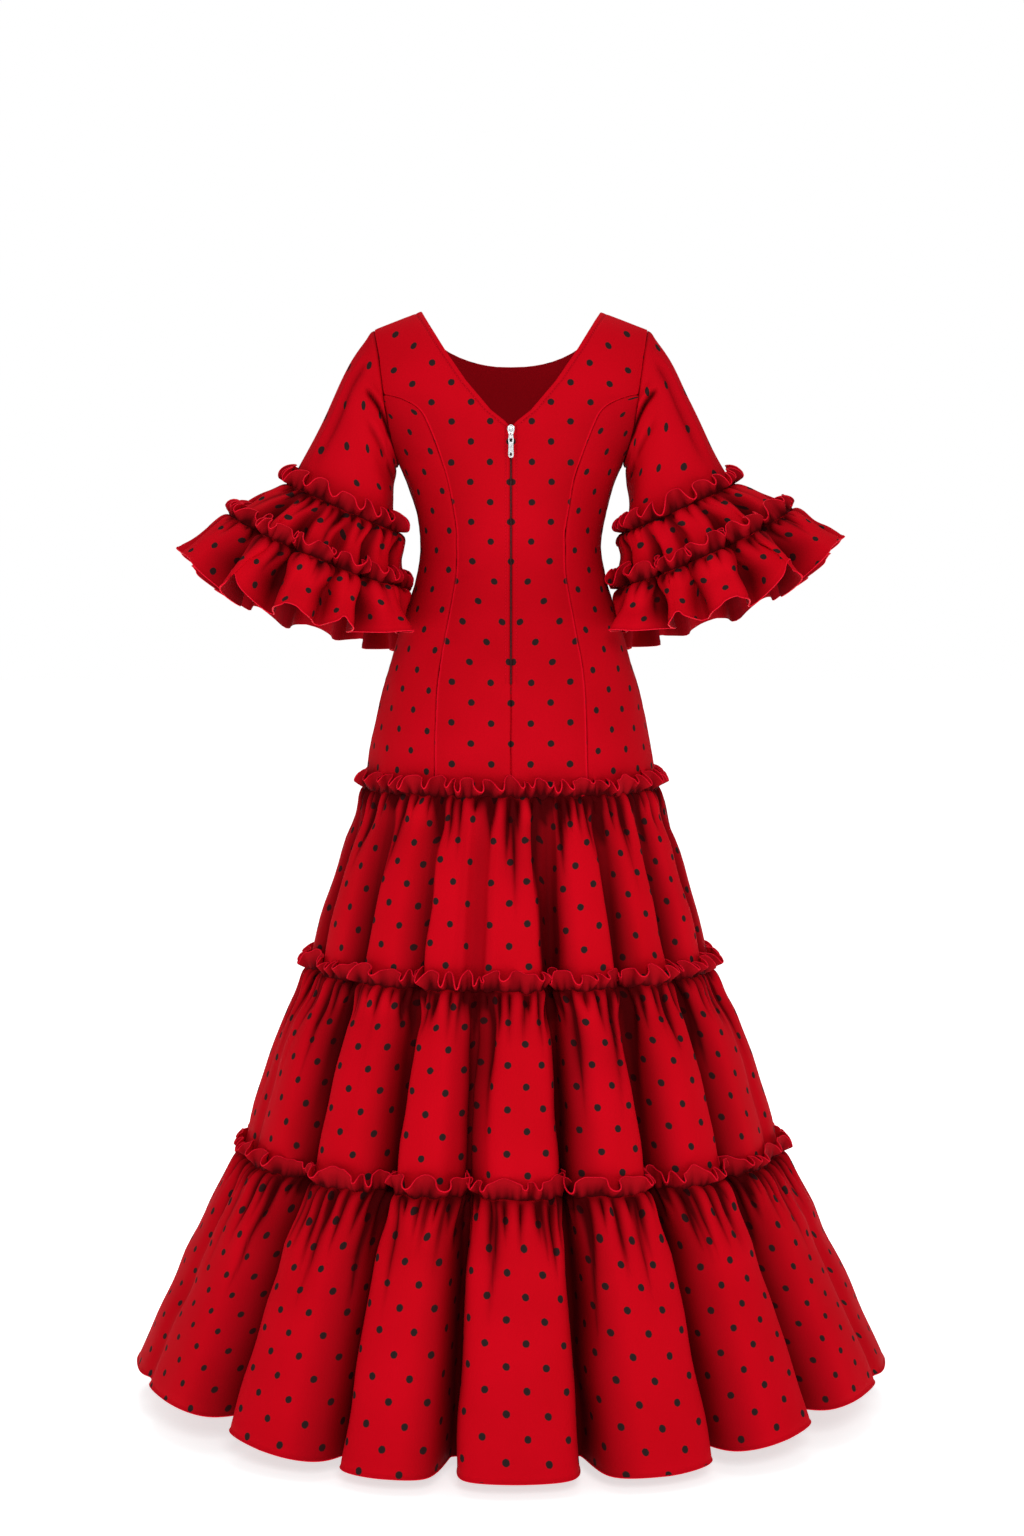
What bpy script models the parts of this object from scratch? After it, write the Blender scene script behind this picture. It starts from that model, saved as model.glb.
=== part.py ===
"""A girl's flamenco dress in the hollow form it has when worn.

A fitted bodice with a back zip, two sleeves with two flounces each, and a skirt of three gathered tiers.
Metres, +Z up. The back of the dress faces -Y, and the wearer's left is at -X. The origin lies midway
between the inner ends of the shoulder seams, where the wearer carries the dress.
"""

import math
from collections import namedtuple

import bmesh
import bpy
import numpy as np
from mathutils import Vector

# Cloth
WALL = 0.0012
SEAM_GAP = 0.0005
SEAM_OVERLAP = 0.010

# Bodice
ARMPIT = -0.152
NECK_HALF_WIDTH = 0.0895
SHOULDER_SLOPE = 0.38
SHOULDER_ROUNDNESS = 2.5
FRONT_NECK_DROP = 0.050
HIP_LINE = -0.473
ZIP_TOP = -0.1166
ZIP_BOTTOM = -0.367
ZIP_SLIT = 0.0020

# Frills
TIER_FRILL = 0.020
SLEEVE_FRILL = 0.018
FRILL_LEAN = math.radians(26)
FRILL_WAVE = 0.0035
TIER_WAVES = 24
SLEEVE_WAVES = 10

# Skirt
SKIRT_DEPTH_RATIO = 0.82

# Zip slider and its pull tab
SLIDER_WIDTH = 0.0076
SLIDER_LENGTH = 0.0135
SLIDER_THICKNESS = 0.0018
BRIDGE_RADIUS = 0.0026
BRIDGE_WIRE = 0.0008
BRIDGE_STANDOFF = 0.0018
BAR_CLEARANCE = 0.00045
PULL_WIDTH = 0.0056
PULL_LENGTH = 0.0215
PULL_THICKNESS = 0.0012
PULL_BAR = 0.0012
PULL_EYE = (0.0031, 0.0052)
PULL_HOLE = (0.0018, 0.0034)
PULL_HOLE_FROM_END = 0.0036
TAPE_WIDTH = 0.024
TAPE_THICKNESS = 0.0010

# Inner face of the bodice at each height: half width at the side seams, depth behind and in front of them,
# and how square the section is (2 is an ellipse).
Section = namedtuple("Section", "height half_width back front squareness")
BODY = (
    Section(0.000, 0.148, 0.081, 0.079, 2.3),
    Section(-0.044, 0.1425, 0.083, 0.081, 2.3),
    Section(-0.096, 0.1345, 0.085, 0.083, 2.3),
    Section(-0.128, 0.1250, 0.085, 0.084, 2.3),
    Section(-0.152, 0.1110, 0.084, 0.085, 2.2),
    Section(-0.182, 0.0985, 0.079, 0.084, 2.1),
    Section(-0.214, 0.0910, 0.073, 0.081, 2.1),
    Section(-0.243, 0.0895, 0.071, 0.080, 2.1),
    Section(-0.265, 0.0935, 0.074, 0.081, 2.1),
    Section(-0.305, 0.1060, 0.087, 0.086, 2.1),
    Section(-0.347, 0.1185, 0.100, 0.093, 2.1),
    Section(-0.414, 0.1355, 0.113, 0.104, 2.0),
    Section(-0.473, 0.1445, 0.119, 0.114, 2.0),
    Section(-0.490, 0.1465, 0.121, 0.117, 2.0),
)

# Cut edges of the bodice panels, as a distance from the middle at each height.
Edge = namedtuple("Edge", "height offset")
BACK_NECK = (
    Edge(0.000, 0.0895),
    Edge(-0.041, 0.0646),
    Edge(-0.072, 0.0437),
    Edge(-0.101, 0.0194),
    Edge(-0.111, 0.0068),
    Edge(-0.1166, 0.0010),
)
ARMHOLE = (
    Edge(0.000, 0.1365),
    Edge(-0.027, 0.1320),
    Edge(-0.057, 0.1280),
    Edge(-0.088, 0.1245),
    Edge(-0.115, 0.1195),
    Edge(-0.141, 0.1135),
    Edge(-0.152, 0.1110),
)
PRINCESS_TOP = -0.077
PRINCESS = (
    Edge(-0.077, 0.1250),
    Edge(-0.085, 0.1080),
    Edge(-0.095, 0.0900),
    Edge(-0.122, 0.0776),
    Edge(-0.168, 0.0616),
    Edge(-0.219, 0.0531),
    Edge(-0.264, 0.0540),
    Edge(-0.312, 0.0627),
    Edge(-0.345, 0.0690),
    Edge(-0.375, 0.0723),
    Edge(-0.490, 0.0750),
)

# Crest line of each skirt tier below its gathers, and how deep its folds are there.
Row = namedtuple("Row", "height half_width fold")
TIERS = (
    (
        Row(-0.512, 0.1645, 0.004),
        Row(-0.575, 0.1835, 0.011),
        Row(-0.650, 0.2015, 0.018),
        Row(-0.660, 0.2040, 0.019),
    ),
    (
        Row(-0.688, 0.2240, 0.025),
        Row(-0.758, 0.2485, 0.033),
        Row(-0.838, 0.2685, 0.040),
        Row(-0.848, 0.2705, 0.041),
    ),
    (
        Row(-0.874, 0.2945, 0.047),
        Row(-0.962, 0.3320, 0.054),
        Row(-1.065, 0.3710, 0.060),
    ),
)

# The valleys between the skirt's folds: degrees from the centre back towards +X, and relative depth.
Valley = namedtuple("Valley", "angle depth")
SKIRT_VALLEYS = (
    Valley(-171, 1.0),
    Valley(-148, 1.0),
    Valley(-124, 1.0),
    Valley(-99, 0.8),
    Valley(-74, 0.9),
    Valley(-49, 1.0),
    Valley(-27, 0.95),
    Valley(-10, 1.05),
    Valley(12, 1.05),
    Valley(33, 1.0),
    Valley(53, 1.0),
    Valley(75, 0.9),
    Valley(97, 0.8),
    Valley(120, 1.0),
    Valley(143, 1.0),
    Valley(166, 1.0),
)

# A fold's section from one valley to the next: place across it, and share of the valley's depth there.
Share = namedtuple("Share", "place depth")
SKIRT_FOLD = (
    Share(0.04, 1.0),
    Share(0.14, 0.34),
    Share(0.36, 0.03),
    Share(0.64, 0.03),
    Share(0.86, 0.34),
    Share(0.96, 1.0),
)
FLOUNCE_FOLD = (
    Share(0.06, 1.0),
    Share(0.26, 0.25),
    Share(0.50, 0.0),
    Share(0.74, 0.25),
    Share(0.94, 1.0),
)

# Rings round the arm, from the outer end over the back to the inner end: the ends in front view, half the
# depth, how far front and back hang below the ends, how much the front hangs below the back, fold depth.
Ring = namedtuple("Ring", "outer_x outer_z inner_x inner_z half_depth sag dip fold")
SLEEVE = (
    Ring(0.1580, -0.048, 0.1170, -0.166, 0.043, 0.0, 0.0, 0.0),
    Ring(0.1770, -0.088, 0.1190, -0.184, 0.048, 0.0, 0.0, 0.0),
    Ring(0.1985, -0.133, 0.1190, -0.202, 0.053, 0.0, 0.0, 0.0),
    Ring(0.2200, -0.172, 0.1150, -0.220, 0.057, 0.0, 0.0, 0.0),
    Ring(0.2245, -0.181, 0.1145, -0.230, 0.0585, 0.0, 0.0, 0.0),
)
UPPER_FLOUNCE = (
    Ring(0.2560, -0.183, 0.1090, -0.247, 0.079, 0.003, 0.001, 0.004),
    Ring(0.2800, -0.202, 0.1050, -0.276, 0.094, 0.007, 0.003, 0.008),
    Ring(0.2850, -0.211, 0.1040, -0.286, 0.0965, 0.009, 0.004, 0.009),
)
LOWER_FLOUNCE = (
    Ring(0.3110, -0.221, 0.0960, -0.302, 0.112, 0.018, 0.008, 0.016),
    Ring(0.3340, -0.240, 0.0890, -0.319, 0.124, 0.030, 0.012, 0.024),
)
FLOUNCE_VALLEYS = (
    Valley(10, 0.9),
    Valley(46, 1.0),
    Valley(79, 1.0),
    Valley(101, 0.8),
    Valley(122, 1.0),
    Valley(156, 1.0),
    Valley(195, 0.7),
    Valley(235, 1.0),
    Valley(280, 1.0),
    Valley(325, 1.0),
)
RING_SQUARENESS = 2.4
SLEEVE_COLUMNS = 24
BODY_CLEARANCE = 0.014
HEM_CLEARANCE = 0.008
ARMHOLE_SHIFT = 0.0012
ARMPIT_SHIFT = 0.0022
RIGHT_HEM_LIFT = 0.013

# Heights of the rows of points in the bodice's panels, and how many columns each panel has.
BELOW_ARMPIT = (-0.182, -0.214, -0.243, -0.265, -0.305, -0.347, -0.366, -0.375, -0.414, -0.483)
BACK_HEIGHTS = (0.0, -0.015, -0.041, -0.072, -0.077, -0.085, -0.095, -0.101, -0.111, -0.1166, -0.126, -0.14, -0.152)
FRONT_HEIGHTS = (0.0, -0.011, -0.024, -0.038, -0.046, -0.050, -0.068, -0.095, -0.122, -0.152)
BACK_COLUMNS = 6
FRONT_COLUMNS = 8


def at_height(table, column, height):
    """A column of a table at any height, on a cubic curve through its rows."""
    heights = np.array([row.height for row in reversed(table)])
    values = np.array([getattr(row, column) for row in reversed(table)])
    slopes = np.gradient(values, heights)
    index = int(np.clip(np.searchsorted(heights, height) - 1, 0, len(heights) - 2))
    span = heights[index + 1] - heights[index]
    t = min(max((height - heights[index]) / span, 0.0), 1.0)
    start = values[index] * (1 + 2 * t) * (1 - t) ** 2 + slopes[index] * span * t * (1 - t) ** 2
    end = values[index + 1] * t * t * (3 - 2 * t) + slopes[index + 1] * span * t * t * (t - 1)
    return float(start + end)


def edge(table, height):
    """A cut edge's distance from the middle, straight between its rows."""
    heights = [row.height for row in reversed(table)]
    offsets = [row.offset for row in reversed(table)]
    return float(np.interp(height, heights, offsets))


def body_point(x, height, facing):
    """The bodice's inner face at x. facing is -1 behind and 1 in front; height is 0 on the shoulder seam."""
    half_width = at_height(BODY, "half_width", height)
    depth = at_height(BODY, "back" if facing < 0 else "front", height)
    power = at_height(BODY, "squareness", height)
    across = min(abs(x) / half_width, 1.0)
    rise = max(0.0, 1 - height / ARMPIT)
    rounding = (1 - rise**SHOULDER_ROUNDNESS) ** (1 / SHOULDER_ROUNDNESS)
    y = facing * depth * (1 - across**power) ** (1 / power) * rounding
    drop = SHOULDER_SLOPE * max(0.0, abs(x) - NECK_HALF_WIDTH) * rise
    return np.array((x, y, height - drop))


def body_clear(point, margin):
    """The point, moved out from the middle where it would come nearer the bodice than the margin."""
    x, y, z = point
    if z > ARMPIT:
        return point
    half_width = at_height(BODY, "half_width", z) + margin
    depth = at_height(BODY, "back" if y < 0 else "front", z) + margin
    reach = math.hypot(x / half_width, y / depth)
    if reach >= 1:
        return point
    return np.array((x / reach, y / reach, z))


def unit(vectors):
    return vectors / np.linalg.norm(vectors, axis=-1, keepdims=True)


def mean_direction(steps):
    """At each point of rows of points, the mean direction of the steps before and after it."""
    before = np.concatenate([steps[:1], steps])
    after = np.concatenate([steps, steps[-1:]])
    return unit(before) + unit(after)


def moved_out(grid, distance, closed):
    """The grid of points, each moved along the surface's outward normal."""
    if closed:
        along = unit(np.roll(grid, -1, axis=1) - grid) + unit(grid - np.roll(grid, 1, axis=1))
    else:
        along = mean_direction(np.diff(grid, axis=1).swapaxes(0, 1)).swapaxes(0, 1)
    down = mean_direction(np.diff(grid, axis=0))
    return grid + unit(np.cross(down, along)) * distance


def cloth_material(name):
    material = bpy.data.materials.new(name)
    material.use_nodes = True
    shader = material.node_tree.nodes["Principled BSDF"]
    shader.inputs["Base Color"].default_value = (0.58, 0.006, 0.014, 1.0)
    shader.inputs["Roughness"].default_value = 0.62
    shader.inputs["Metallic"].default_value = 0.0
    return material


def metal_material(name):
    material = bpy.data.materials.new(name)
    material.use_nodes = True
    shader = material.node_tree.nodes["Principled BSDF"]
    shader.inputs["Base Color"].default_value = (0.82, 0.82, 0.83, 1.0)
    shader.inputs["Roughness"].default_value = 0.25
    shader.inputs["Metallic"].default_value = 1.0
    return material


def add_object(name, mesh, material):
    for polygon in mesh.polygons:
        polygon.use_smooth = True
    mesh.set_sharp_from_angle(angle=math.radians(50))
    mesh.materials.clear()
    mesh.materials.append(material)
    piece = bpy.data.objects.new(name, mesh)
    bpy.data.collections["flamenco_dress"].objects.link(piece)
    return piece


def cloth(name, grid, closed=False, mirrored=False, thickness=WALL):
    """A wall of cloth whose inner face is the grid, rows from the top down, wound to face outwards."""
    rows, columns = grid.shape[:2]
    mesh = bpy.data.meshes.new(name)
    bm = bmesh.new()
    points = [[bm.verts.new(point) for point in row] for row in grid]
    for row in range(rows - 1):
        for column in range(columns if closed else columns - 1):
            after = (column + 1) % columns
            corners = (points[row][column], points[row + 1][column])
            bm.faces.new(corners + (points[row + 1][after], points[row][after]))
    bm.to_mesh(mesh)
    bm.free()
    piece = add_object(name, mesh, cloth_material(name))
    if mirrored:
        mirror = piece.modifiers.new("Mirror", "MIRROR")
        mirror.merge_threshold = 0.0001
    solidify = piece.modifiers.new("Solidify", "SOLIDIFY")
    solidify.thickness = thickness
    solidify.offset = 1.0
    return piece


def fold_columns(valleys, section):
    """(angle, depth) of every column of points round a folded tube, angles in radians."""
    columns = []
    for index, valley in enumerate(valleys):
        following = valleys[(index + 1) % len(valleys)]
        span = (following.angle - valley.angle) % 360
        for share in section:
            depth = valley.depth if share.place < 0.5 else following.depth
            columns.append((math.radians(valley.angle + span * share.place), share.depth * depth))
    return columns


def frill_row(line, upper, height, waves):
    """The top edge of the frill above a gather line, leaning away from the ring above and waving."""
    rising = unit(upper - line)
    from_middle = line - line.mean(axis=0)
    outward = unit(from_middle - rising * (from_middle * rising).sum(axis=1, keepdims=True))
    waving = np.sin(math.tau * waves * np.arange(len(line)) / len(line))
    lean = height * math.sin(FRILL_LEAN) + FRILL_WAVE * waving
    return line + rising * height * math.cos(FRILL_LEAN) + outward * lean[:, None]


def back_centre(side):
    """Half of the middle of the back, from the zip to the princess seam and the armhole."""
    rows = []
    for height in BACK_HEIGHTS + BELOW_ARMPIT:
        middle = ZIP_SLIT / 2 if height > ZIP_BOTTOM else SEAM_GAP / 2
        inner = max(middle, edge(BACK_NECK, height) if height > ZIP_TOP else 0.0)
        outer = edge(ARMHOLE, height) if height > PRINCESS_TOP else edge(PRINCESS, height) - SEAM_GAP / 2
        rows.append([body_point(side * x, height, -1) for x in np.linspace(inner, outer, BACK_COLUMNS)])
    grid = np.array(rows)
    return grid if side > 0 else grid[:, ::-1]


def back_side(side):
    """The back between the princess seam and the side seam."""
    rows = []
    for height in [height for height in BACK_HEIGHTS if height < PRINCESS_TOP] + list(BELOW_ARMPIT):
        half_width = at_height(BODY, "half_width", height)
        seam = half_width if height < ARMPIT else edge(ARMHOLE, height)
        turns = np.arcsin(np.clip((edge(PRINCESS, height) + SEAM_GAP / 2, seam), 0, half_width) / half_width)
        # The side seam lies in the plane y = 0, and half the seam's gap is left there.
        last = turns[1] - (SEAM_GAP / 2 / half_width if height <= ARMPIT else 0.0)
        places = half_width * np.sin(np.linspace(turns[0], last, BACK_COLUMNS))
        rows.append([body_point(side * x, height, -1) for x in places])
    grid = np.array(rows)
    return grid if side > 0 else grid[:, ::-1]


def front_half():
    """The +X half of the front, from the armhole and side seam to the middle."""
    rows = []
    for height in FRONT_HEIGHTS + BELOW_ARMPIT:
        half_width = at_height(BODY, "half_width", height)
        seam = half_width if height < ARMPIT else edge(ARMHOLE, height)
        depth = min(height / -FRONT_NECK_DROP, 1.0)
        neck = NECK_HALF_WIDTH * math.sqrt(1 - depth**2)
        first, last = np.arcsin(np.clip((neck, seam), 0, half_width) / half_width)
        if height <= ARMPIT:
            last -= SEAM_GAP / 2 / half_width
        places = half_width * np.sin(np.linspace(last, first, FRONT_COLUMNS))
        row = np.array([body_point(x, height, 1) for x in places])
        # The shoulder seam lies in the plane y = 0 too.
        if height == 0:
            row[:, 1] = SEAM_GAP
        rows.append(row)
    return np.array(rows)


def skirt_point(angle, depth, row):
    radius = np.array((row.half_width * math.sin(angle), -SKIRT_DEPTH_RATIO * row.half_width * math.cos(angle)))
    inwards = row.fold * depth / np.linalg.norm(radius)
    x, y = radius * (1 - inwards)
    return np.array((x, y, row.height))


def body_ring_point(angle, height):
    """The bodice's inner face at an angle round the body, below the armpits."""
    half_width = at_height(BODY, "half_width", height)
    return body_point(half_width * math.sin(angle), height, -1 if math.cos(angle) > 0 else 1)


def tier_grid(carrier, rows, columns):
    """The inner face of a gathered tier. carrier is three rows of the outer face that it is sewn to."""
    above, line, below = moved_out(carrier, SEAM_GAP, closed=True)
    hanging = [[skirt_point(angle, depth, row) for angle, depth in columns] for row in rows]
    frill = frill_row(line, above, TIER_FRILL, TIER_WAVES)
    return np.array([frill, line, below] + hanging)


def skirt_tiers():
    """The three tiers' grids. Each hangs from the last rows of the piece above, moved out by its wall."""
    columns = fold_columns(SKIRT_VALLEYS, SKIRT_FOLD)
    heights = (HIP_LINE + TIER_FRILL, HIP_LINE, HIP_LINE - SEAM_OVERLAP)
    hips = np.array([[body_ring_point(angle, height) for angle, _ in columns] for height in heights])
    carrier = moved_out(hips, WALL, closed=True)
    grids = []
    for rows in TIERS:
        grid = tier_grid(carrier, rows, columns)
        grids.append(grid)
        carrier = moved_out(grid, WALL, closed=True)[-3:]
    return grids


def ring_point(ring, turn, depth, side, lift):
    """A point round the arm. turn is 0 at the outer end and a quarter turn at the back."""
    outer = np.array((ring.outer_x, ring.outer_z + lift))
    inner = np.array((ring.inner_x, ring.inner_z))
    centre, half = (outer + inner) / 2, (outer - inner) / 2
    cosine, sine = math.cos(turn), math.sin(turn)
    across = math.copysign(abs(cosine) ** (2 / RING_SQUARENESS), cosine)
    back = math.copysign(abs(sine) ** (2 / RING_SQUARENESS), sine)
    shrink = 1 - ring.fold * depth / np.linalg.norm(half)
    x, z = centre + half * across * shrink
    z += ring.dip * back - ring.sag * sine * sine
    return np.array((side * x, -ring.half_depth * back * shrink, z))


def armhole_point(turn, side):
    """A point of the armhole's edge, a little outside it. turn is 0 at the shoulder and half way below."""
    rise = (1 + math.cos(turn)) / 2
    height = ARMPIT * (1 - rise)
    facing = -1 if math.sin(turn) > 0 else 1
    point = body_point(side * edge(ARMHOLE, height), height, facing)
    if abs(math.sin(turn)) < 1e-6:
        point[1] = 0.0
    shift = ARMHOLE_SHIFT + ARMPIT_SHIFT * max(0.0, -math.cos(turn))
    return point + np.array((side * shift, 0.0, 0.0))


def sleeve_rows(side, columns, rings, margin, lift):
    """Rows of points round the arm, kept clear of the bodice."""
    rows = []
    for ring, raised in zip(rings, lift):
        row = [ring_point(ring, turn, depth, side, raised) for turn, depth in columns]
        rows.append([body_clear(point, margin) for point in row])
    return rows


def sleeve_grids(side):
    """(sleeve, upper flounce, lower flounce) of one arm."""
    lift = np.linspace(0, RIGHT_HEM_LIFT if side > 0 else 0.0, 6)
    smooth = [(turn, 0.0) for turn in np.linspace(0, math.tau, SLEEVE_COLUMNS, endpoint=False)]
    folded = fold_columns(FLOUNCE_VALLEYS, FLOUNCE_FOLD)
    if side > 0:
        smooth, folded = smooth[::-1], folded[::-1]
    armhole = [armhole_point(turn, side) for turn, _ in smooth]
    sleeve = np.array([armhole] + sleeve_rows(side, smooth, SLEEVE, BODY_CLEARANCE, np.zeros(5)))
    end = np.array(sleeve_rows(side, folded, SLEEVE[-3:], BODY_CLEARANCE, np.zeros(3)))
    carrier = moved_out(end, WALL, closed=True)
    flounces = []
    for rings, margin, raised in ((UPPER_FLOUNCE, BODY_CLEARANCE, lift[1:4]), (LOWER_FLOUNCE, HEM_CLEARANCE, lift[4:])):
        above, line, below = moved_out(carrier, SEAM_GAP, closed=True)
        frill = frill_row(line, above, SLEEVE_FRILL, SLEEVE_WAVES)
        frill = np.array([body_clear(point, HEM_CLEARANCE) for point in frill])
        grid = np.array([frill, line, below] + sleeve_rows(side, folded, rings, margin, raised))
        flounces.append(grid)
        carrier = moved_out(grid, WALL, closed=True)[-3:]
    return sleeve, flounces[0], flounces[1]


def zip_tape():
    heights = [height for height in BACK_HEIGHTS + BELOW_ARMPIT if -0.376 < height < ZIP_TOP - 0.001]
    places = (-TAPE_WIDTH / 2, 0.0, TAPE_WIDTH / 2)
    back = np.array([[body_point(x, height, -1) for x in places] for height in heights])
    return moved_out(back, -(SEAM_GAP + TAPE_THICKNESS), closed=False)


def oval(curve, width, height, centre):
    """A closed round outline in a 2D curve: four handles round an ellipse."""
    spline = curve.splines.new("BEZIER")
    spline.bezier_points.add(3)
    handle = 0.5523
    for index, point in enumerate(spline.bezier_points):
        angle = math.pi / 2 * index
        direction = np.array((math.cos(angle), math.sin(angle)))
        size = np.array((width / 2, height / 2))
        middle = np.array((0.0, centre))
        turned = np.array((-direction[1], direction[0])) * size * handle
        point.co = (*(middle + direction * size), 0)
        point.handle_left = (*(middle + direction * size - turned), 0)
        point.handle_right = (*(middle + direction * size + turned), 0)
        point.handle_left_type = point.handle_right_type = "FREE"
    spline.use_cyclic_u = True


def plate(name, outlines, thickness):
    """A flat plate in the XZ plane from (width, height, centre) ovals, the first round the others, as a mesh."""
    curve = bpy.data.curves.new(name, "CURVE")
    curve.dimensions = "2D"
    curve.fill_mode = "BOTH"
    curve.extrude = thickness / 2
    curve.resolution_u = 4
    for outline in outlines:
        oval(curve, *outline)
    flat = bpy.data.objects.new(name, curve)
    bpy.context.scene.collection.objects.link(flat)
    bpy.context.view_layer.update()
    mesh = bpy.data.meshes.new_from_object(flat.evaluated_get(bpy.context.evaluated_depsgraph_get()))
    bpy.data.objects.remove(flat)
    bpy.data.curves.remove(curve)
    bm = bmesh.new()
    bm.from_mesh(mesh)
    bmesh.ops.remove_doubles(bm, verts=bm.verts, dist=1e-6)
    # The outline was drawn in XY: lay it up into XZ, its face towards -Y.
    for vertex in bm.verts:
        x, z, y = vertex.co
        vertex.co = (x, -y, z)
    bmesh.ops.recalc_face_normals(bm, faces=bm.faces)
    bm.to_mesh(mesh)
    bm.free()
    mesh.name = name
    return mesh


def zip_hardware():
    """The slider with its bridge, and the pull tab that hangs from the bridge on its own axis."""
    slider_middle = ZIP_TOP - SLIDER_LENGTH / 2 + 0.001
    cloth_y = body_point(0.0, slider_middle, -1)[1] - WALL
    slider_y = cloth_y - SEAM_GAP - SLIDER_THICKNESS / 2
    pivot = Vector((0.0, slider_y - SLIDER_THICKNESS / 2 - BRIDGE_STANDOFF, slider_middle - 0.0045))
    # The tab's top bar hangs just clear of the lower side of the bridge.
    bridge_rise = BRIDGE_RADIUS - BRIDGE_WIRE - PULL_BAR / 2 - BAR_CLEARANCE
    body = plate("zip_slider", [(SLIDER_WIDTH, SLIDER_LENGTH, 0.0)], SLIDER_THICKNESS)
    slider = add_object("zip_slider", body, metal_material("zip_slider"))
    slider.location = (0.0, slider_y, slider_middle)
    bpy.ops.mesh.primitive_torus_add(
        major_radius=BRIDGE_RADIUS,
        minor_radius=BRIDGE_WIRE,
        major_segments=20,
        minor_segments=8,
        location=pivot + Vector((0.0, 0.0, bridge_rise)),
        rotation=(0.0, math.pi / 2, 0.0),
    )
    bridge = bpy.context.object
    bridge.name = "bridge"
    bridge.hide_render = True
    bridge.display_type = "WIRE"
    for collection in list(bridge.users_collection):
        collection.objects.unlink(bridge)
    bpy.data.collections["helpers"].objects.link(bridge)
    union = slider.modifiers.new("Bridge", "BOOLEAN")
    union.operation = "UNION"
    union.object = bridge
    top = PULL_BAR / 2
    outline = (PULL_WIDTH, PULL_LENGTH, top - PULL_LENGTH / 2)
    eye = (*PULL_EYE, -PULL_BAR / 2 - PULL_EYE[1] / 2)
    hole = (*PULL_HOLE, top - PULL_LENGTH + PULL_HOLE_FROM_END)
    tab = plate("zip_pull", [outline, eye, hole], PULL_THICKNESS)
    pull = add_object("zip_pull", tab, metal_material("zip_pull"))
    pull.location = pivot


def main():
    for old in list(bpy.data.objects):
        bpy.data.objects.remove(old)
    for name in ("flamenco_dress", "helpers"):
        bpy.context.scene.collection.children.link(bpy.data.collections.new(name))
    cloth("front", front_half(), mirrored=True)
    for index, grid in enumerate(skirt_tiers()):
        cloth(f"skirt_tier_{index + 1}", grid, closed=True)
    for name, side in (("left", -1), ("right", 1)):
        cloth(f"back_centre_{name}", back_centre(side))
        cloth(f"back_side_{name}", back_side(side))
        sleeve, upper, lower = sleeve_grids(side)
        cloth(f"sleeve_{name}", sleeve, closed=True)
        cloth(f"sleeve_{name}_upper_flounce", upper, closed=True)
        cloth(f"sleeve_{name}_lower_flounce", lower, closed=True)
    cloth("zip_tape", zip_tape(), thickness=TAPE_THICKNESS)
    zip_hardware()


main()
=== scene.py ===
"""Looks of the flamenco dress: each cloth piece as a thin shell, with its frills, seams, stitches and zip."""

import math
from collections import namedtuple

import bmesh
import bpy
import numpy as np
from mathutils import Matrix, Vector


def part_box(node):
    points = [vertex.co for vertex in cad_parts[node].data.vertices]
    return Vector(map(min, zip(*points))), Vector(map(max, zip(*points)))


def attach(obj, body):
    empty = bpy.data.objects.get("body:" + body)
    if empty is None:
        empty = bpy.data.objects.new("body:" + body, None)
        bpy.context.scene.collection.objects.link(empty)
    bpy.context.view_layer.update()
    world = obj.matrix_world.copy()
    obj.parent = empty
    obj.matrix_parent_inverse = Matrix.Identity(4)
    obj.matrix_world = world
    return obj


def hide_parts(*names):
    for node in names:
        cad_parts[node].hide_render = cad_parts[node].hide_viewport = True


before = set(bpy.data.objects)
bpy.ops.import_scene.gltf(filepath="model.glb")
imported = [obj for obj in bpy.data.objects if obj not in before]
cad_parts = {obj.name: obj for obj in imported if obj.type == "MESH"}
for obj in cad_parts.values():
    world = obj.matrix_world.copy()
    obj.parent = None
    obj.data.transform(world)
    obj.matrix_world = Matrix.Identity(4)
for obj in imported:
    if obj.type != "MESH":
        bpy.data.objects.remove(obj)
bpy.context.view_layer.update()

# ---- sizes shared with the solids
WALL = 0.0012
ARMPIT = -0.152
NECK_HALF_WIDTH = 0.0895
SHOULDER_SLOPE = 0.38
SHOULDER_ROUNDNESS = 2.5
FRONT_NECK_DROP = 0.050
ZIP_TOP = -0.1166
ZIP_BOTTOM = -0.367
SKIRT_DEPTH_RATIO = 0.82
RING_SQUARENESS = 2.4
BODY_CLEARANCE = 0.014
HEM_CLEARANCE = 0.008
ARMHOLE_SHIFT = 0.0012
ARMPIT_SHIFT = 0.0022
RIGHT_HEM_LIFT = 0.013


def table(**columns):
    """Columns in metres from millimetres, over heights that rise from row to row."""
    return {name: np.array(values) / 1000 for name, values in columns.items()}


BODY = table(
    height=(-490, -473, -414, -347, -305, -265, -243, -214, -182, -152, -128, -96, -44, 0),
    half_width=(146.5, 144.5, 135.5, 118.5, 106, 93.5, 89.5, 91, 98.5, 111, 125, 134.5, 142.5, 148),
    back=(121, 119, 113, 100, 87, 74, 71, 73, 79, 84, 85, 85, 83, 81),
    front=(117, 114, 104, 93, 86, 81, 80, 81, 84, 85, 84, 83, 81, 79),
)
BODY["squareness"] = np.array([2.0] * 3 + [2.1] * 6 + [2.2] + [2.3] * 4)
BACK_NECK = table(height=(-116.6, -111, -101, -72, -41, 0), offset=(1, 6.8, 19.4, 43.7, 64.6, 89.5))
ARMHOLE = table(
    height=(-152, -141, -115, -88, -57, -27, 0), offset=(111, 113.5, 119.5, 124.5, 128, 132, 136.5)
)
PRINCESS = table(
    height=(-490, -375, -345, -312, -264, -219, -168, -122, -95, -85, -77),
    offset=(75, 72.3, 69, 62.7, 54, 53.1, 61.6, 77.6, 90, 108, 125),
)
PRINCESS_TOP = PRINCESS["height"][-1]

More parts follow.
